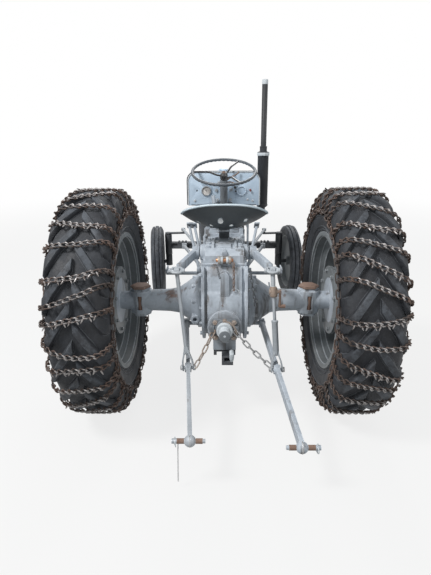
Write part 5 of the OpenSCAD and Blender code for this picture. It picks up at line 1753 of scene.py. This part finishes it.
@dataclass
class Controls:
    """Exhaust, steering linkage, and the small parts of the steering box."""

    shop: Workshop
    stack: tuple[float, float, float] = (290.0, 1130.0, 0.0)
    linkage: tuple[tuple[str, str, str], ...] = (("drop_arm", "paint", "body_paint"),
                                                 ("drag_link", "link", "sheet_paint"),
                                                 ("knuckle", "cast", "cast_iron"))

    def build(self) -> None:
        """Dresses the controls."""
        shop = self.shop
        shop.mount_soft("exhaust", "black", "exhaust_black", 1.0)
        for side in Side:
            for kind, finish, slot in self.linkage:
                node = f"{kind}_{side.word}"
                shop.mount_soft(node, finish, slot, 1.5, node)
        self.exhaust_bands()
        self.box_bolts()

    def exhaust_bands(self) -> None:
        """The pale clamp round the silencer's top and the seams of its ends."""
        shop, stack = self.shop, self.stack
        x, y, _ = stack
        shape = Shape()
        shape.lathe([(40.4, 1316), (44.8, 1317), (44.8, 1338), (40.4, 1339)], stack, UP, 48, closed=True)
        shape.block((x - 9, y - 62, 1319), (x + 9, y - 42, 1336))
        shape.lathe([(19.4, 1796), (21, 1797), (21, 1827.4), (19.4, 1827.8)], stack, UP, 40, closed=True)
        band = shape.made("silencer_band", shop.paints["band"], bevel=0.6)
        shape = Shape()
        shape.lathe([(40.2, 950), (42.4, 953), (42.4, 960), (40.2, 963)], stack, UP, 48, closed=True)
        shape.lathe([(20.2, 1376), (26.8, 1374), (26.8, 1381), (20.2, 1383)], stack, UP, 40, closed=True)
        seams = shape.made("silencer_seams", shop.paints["black"])
        shop.mount(joined("exhaust_bands", [band, seams]), "chassis", "exhaust_black")

    def box_bolts(self) -> None:
        """Bolts of the steering box and its side covers."""
        spots = [((s * 60, y, z), (s, 0, 0)) for s in HANDS for z in (815, 900) for y in (1000, 1050)]
        spots += [((x, 985, z), AFT) for x in (-44, 44) for z in (820, 880, 940)]
        bolts = self.shop.heads("steering_box_bolts", spots, 15, 8, "paint", 23)
        self.shop.mount(bolts, "chassis", "body_paint")


@dataclass
class RearLift:
    """Lift arms, lift rods, lower links, their pins and the check chains."""

    shop: Workshop
    arm_x: float = 235.0
    arm_end: tuple[float, float] = (-225.0, 848.0)
    pivot: tuple[float, float, float] = (215.0, 60.0, 446.0)
    ends: tuple[tuple[float, float, float], ...] = ((-150.0, -747.0, 250.0), (320.0, -787.0, 250.0))
    rod_share: float = 0.4525
    arm_cut: float = -196.0
    sag: float = 7.0

    def on_link(self, i: int, share: float) -> Vector:
        """A place along a lower link."""
        start = Vector((HANDS[i] * self.pivot[0], self.pivot[1], self.pivot[2]))
        return start.lerp(Vector(self.ends[i]), share)

    def build(self) -> None:
        """Dresses the lift and adds its small parts."""
        shop = self.shop
        arms = shop.soften("lift_arms", "paint", 3.0)
        bm = bmesh.new()
        bm.from_mesh(arms.data)
        bmesh.ops.bisect_plane(bm, geom=bm.verts[:] + bm.edges[:] + bm.faces[:], plane_no=FORE,
                               plane_co=metres((0, self.arm_cut, 0)), clear_inner=True)
        bmesh.ops.holes_fill(bm, edges=[e for e in bm.edges if e.is_boundary], sides=0)
        bm.to_mesh(arms.data)
        bm.free()
        shape = Shape()
        tilt = Matrix.Rotation(math.radians(14), 3, "X")
        for s in HANDS:
            middle = Vector((s * self.arm_x, self.arm_end[0] + 3, self.arm_end[1] + 2))
            loop = [Vector((27 * math.copysign(abs(math.cos(a)) ** 0.7, math.cos(a)),
                            25 * (min(math.sin(a), 0.85) if a < math.pi else math.sin(a)), 0))
                    for a in turns(32)]
            shape.tube([middle + tilt @ p for p in loop], 7.0, 10, closed=True)
            for end in HANDS:
                shape.lathe(drum(13, 5), (s * self.arm_x + end * 34, *self.arm_end), ACROSS, 16)
            shape.tube([(s * self.arm_x - 38, *self.arm_end), (s * self.arm_x + 38, *self.arm_end)], 6.5, 12)
        loops = shape.made("arm_loops", shop.paints["link"], bevel=0.8)
        shop.mount(joined("lift_arms_dressed", [arms, loops]), "lift_arms", "body_paint", "lift_arms")
        for i, side in enumerate(Side):
            self.rod(i, side)
            self.link(i, side)
        self.check_chains()

    def rod(self, i: int, side: Side) -> None:
        """Builds a lift rod with a round head and a slim fork; the right one has the levelling box.

        Args:
            i: 0 for the left rod and 1 for the right one.
            side: side of the rod.
        """
        shop, word, s = self.shop, side.word, side.value
        low, high = self.on_link(i, self.rod_share), Vector((s * self.arm_x, *self.arm_end))
        up = (high - low).normalized()
        aft = up.cross(Vector(ACROSS)).normalized()
        across = aft.cross(up)
        reach = (high - low).length
        shape = Shape()
        shape.lathe(drum(15.5, 13, 2.5, 3), high, ACROSS, 28)
        stops = ([(reach, 11), (reach - 40, 10), (100, 9.5), (84, 12), (72, 10)] if i == 0 else
                 [(reach, 11), (reach - 60, 11), (reach - 160, 8), (250, 8)])
        shape.tube([low + up * d for d, _ in stops], [r for _, r in stops], 14)
        if i == 1:
            shape.lathe([(0, 72), (9, 72), (14, 84), (15, 92), (15, 240), (17, 244), (17, 252), (0, 254)],
                        low, up, 20)
        for hand in HANDS:
            # Each row: distance up the rod, offset from it, thickness, half of the width
            rows = [(112, 5, 9, 9), (92, 9, 9, 10), (66, 15, 8, 12), (40, 23, 7, 13), (20, 26, 7, 14),
                    (0, 26, 7, 15), (-10, 26, 7, 11), (-15, 26, 7, 5)]
            shape.skin([[low + up * d + across * (hand * (x + t * m)) + aft * (w * n)
                         for m, n in ((-0.5, -1), (0.5, -1), (0.5, 1), (-0.5, 1))] for d, x, t, w in rows])
        rod = shape.made(f"rod_{word}", shop.paints["link"], bevel=1.2)
        shape = Shape()
        for x in (low.x - 34, low.x + 34):
            shape.lathe(drum(14, 5), (x, low.y, low.z), ACROSS, 6)
        for end in HANDS:
            shape.tube([low + Vector((22.6 * end, 0, 0)), low + Vector((39 * end, 0, 0))], 8.5, 14)
        parts = [rod, shape.made(f"rod_pins_{word}", shop.paints["bare"])]
        if i == 1:
            parts += self.levelling(low + up * (reach - 105), up)
        node = f"lift_rod_{word}"
        shop.mount(joined(f"lift_rod_dressed_{word}", parts), node, "sheet_paint", node)

    def levelling(self, box: Vector, up: Vector) -> list[bpy.types.Object]:
        """Builds the levelling box and its crank.

        Args:
            box: middle of the box.
            up: direction of the rod.

        Returns:
            The box and the crank.
        """
        shape = Shape()
        shape.lathe([(0, -27), (14, -27), (19, -22), (19, 18), (14, 26), (0, 26)], box, up, 24)
        shape.lathe(drum(14, 22, 2, 3), box, ACROSS, 20)
        housing = shape.made("levelling_box", self.shop.paints["worn"], bevel=1.0)
        shape = Shape()
        pivot = box + Vector((25, -4, 0))
        for line, radius, sides in ((((-10, 0, 0), (8, 0, 0)), 7, 10),
                                    (((6, 0, 8), (8, 2, -34), (8, 3, -78)), [7, 6, 8], 10),
                                    (((6, 3, -76), (36, 3, -76)), [8, 9.5], 12)):
            shape.tube([pivot + Vector(place) for place in line], radius, sides)
        return [housing, shape.made("crank", self.shop.paints["rusty"])]

    def link(self, i: int, side: Side) -> None:
        """Builds a lower link with a ball's collar, and its pin's rings, clip and bead chain.

        Args:
            i: 0 for the left link and 1 for the right one.
            side: side of the link.
        """
        shop, word, s = self.shop, side.word, side.value
        node = f"lower_link_{word}"
        end = Vector(self.ends[i])
        shape = Shape()
        shape.lathe(bead(24.6, 2.8), end, ACROSS, 32, closed=True)
        collar = shape.made(f"ball_collar_{word}", shop.paints["bare"])
        shape = Shape()
        for a, b in ((-54, -25), (25, 56)):
            shape.tube([end + Vector((s * a, 0, 0)), end + Vector((s * b, 0, 0))], 11.7, 14)
        sleeve = shape.made(f"pin_rust_{word}", shop.paints["rusty"])
        shape = Shape()
        out = end + Vector((s * 64, 0, 0))
        shape.lathe(bead(17, 2.4), out + Vector((0, 0, -9)), (1, 0.2, 0.1), 28, closed=True)
        shape.tube([out + Vector((0, 0, -20)), out + Vector((0, 0, 20))], 3.4, 8)
        clip = shape.made(f"linch_pin_{word}", shop.paints["band"])
        parts = [shop.soften(node, "link" if i == 0 else "paint", 2.5), collar, sleeve, clip]
        if i == 0:
            start = end + Vector((-51, 0, -11))
            hung = [start + Vector((-2 - 4 * t, 0, -38 - 160 * t)) for t in (0, 0.25, 0.5, 0.75, 1.0)]
            beads = [(place, AFT) for place in (start, *hung)]
            parts.append(shop.chain("pin_chain", [beads], 8, 6.5, 2.0, "bare"))
        shop.mount(joined(f"lower_link_dressed_{word}", parts), node, "body_paint", node)

    def check_chains(self) -> None:
        """Chains of long links from the take-off's lugs to the lower links."""
        shop = self.shop
        runs = []
        for s, x_end in ((-1, -141), (1, 219)):
            start, end = Vector((s * 62, -251, 522)), Vector((x_end, -306, 378))
            out = (0.35 * s, -1, 0.25)
            runs.append([(start.lerp(end, t) + Vector((0, 0, -4 * self.sag * t * (1 - t))), out)
                         for t in (k / 8 for k in range(9))])
        left = shop.chain("check_left", [runs[0]], 36, 27, 8.0, "worn", turn=12)
        right = shop.chain("check_right", [runs[1]], 36, 27, 8.0, "bare", turn=12)
        shop.mount(joined("check_chain_links", [left, right]), "chassis", "chain_steel", "check_chains")


@dataclass
class Studio:
    """The floor, the lights, the background and the camera."""

    eye: Point = (-0.010, -3.0285, 1.508)
    pitch: float = 90 - 19.15
    yaw: float = 0.0163
    roll: float = -0.0069
    focal: float = 458.6
    height: int = 575
    sensor: float = 24.0
    target: Point = (0.0, 0.0, 0.7)
    lamps: tuple[tuple[str, Point, float, float], ...] = (
        ("key", (-3.2, -3.0, 5.2), 370.0, 1.4), ("fill", (3.6, -2.4, 3.0), 55.0, 3.0),
        ("rear", (0.5, 4.5, 4.5), 170.0, 2.5))
    sky: Colour = (0.90, 0.96, 1.0)
    sky_strength: float = 0.46
    white: Colour = (1.0, 1.0, 1.0)
    ground: Colour = (0.46, 0.46, 0.45)
    floor_half: float = 40.0

    def build(self) -> None:
        """Sets up the studio."""
        bpy.context.scene.view_settings.view_transform = "Standard"
        self.floor()
        for lamp in self.lamps:
            self.lamp(*lamp)
        self.world()
        self.camera()

    def floor(self) -> None:
        """A pale floor that keeps the shadow and is near white where the camera sees it."""
        half = self.floor_half
        mesh = bpy.data.meshes.new("floor")
        mesh.from_pydata([(-half, -half, 0), (half, -half, 0), (half, half, 0), (-half, half, 0)], [],
                         [(0, 1, 2, 3)])
        ground = linked("floor", mesh)
        s = Shade("pale_floor")
        matt = s.node("ShaderNodeBsdfDiffuse", None, {"Color": self.ground})
        glow = s.node("ShaderNodeEmission", None, {"Color": self.white, "Strength": 1.0})
        away = s.mask(s.length(s.place()), 2.5, 9.0)
        mix = s.node("ShaderNodeMixShader", None, {0: s.seen() * (away * 0.2 + 0.8), 1: matt, 2: glow})
        mesh.materials.append(s.ended(mix))
        ground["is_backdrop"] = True

    def lamp(self, name: str, place: Point, power: float, size: float) -> None:
        """Adds an area lamp that looks at the middle of the tractor.

        Args:
            name: name of the lamp.
            place: its place in metres.
            power: its power in watts.
            size: length of its sides in metres.
        """
        data = bpy.data.lights.new(name, "AREA")
        data.energy, data.size = power, size
        lamp = linked(name, data)
        lamp.location = place
        lamp.rotation_euler = (Vector(self.target) - Vector(place)).to_track_quat("-Z", "Y").to_euler()

    def world(self) -> None:
        """An even sky, plain white where the camera sees it."""
        world = bpy.data.worlds.new("studio")
        bpy.context.scene.world = world
        world.use_nodes = True
        t = Tree(world.node_tree)
        sky = t.node("ShaderNodeBackground", None, {"Color": self.sky, "Strength": self.sky_strength})
        backdrop = t.node("ShaderNodeBackground", None, {"Color": self.white, "Strength": 1.0})
        mix = t.node("ShaderNodeMixShader", None, {0: t.seen(), 1: sky, 2: backdrop})
        t.node("ShaderNodeOutputWorld", None, {0: mix})

    def camera(self) -> None:
        """The camera at the photograph's place and angle."""
        data = bpy.data.cameras.new("camera")
        data.sensor_fit = "VERTICAL"
        data.sensor_height = self.sensor
        data.lens = self.focal / self.height * self.sensor
        camera = linked("camera", data)
        turn = (Matrix.Rotation(self.yaw, 4, "Z") @ Matrix.Rotation(math.radians(self.pitch), 4, "X")
                @ Matrix.Rotation(self.roll, 4, "Z"))
        camera.matrix_world = Matrix.Translation(Vector(self.eye)) @ turn
        bpy.context.scene.camera = camera


def main() -> None:
    """Builds the tractor's looks and its studio."""
    logging.basicConfig(level=logging.INFO, format="%(message)s", stream=sys.stdout)
    shop = Workshop()
    for side in Side:
        wheel = RearWheel(shop, side)
        wheel.tyre()
        wheel.chains()
        wheel.rim()
        FrontWheel(shop, side).build()
    Castings(shop).build()
    SheetMetal(shop).build()
    Seat(shop).build()
    SteeringWheel(shop).build()
    Controls(shop).build()
    RearLift(shop).build()
    Studio().build()
    LOG.info("%d pieces", shop.pieces)


if __name__ == "__main__":
    main()
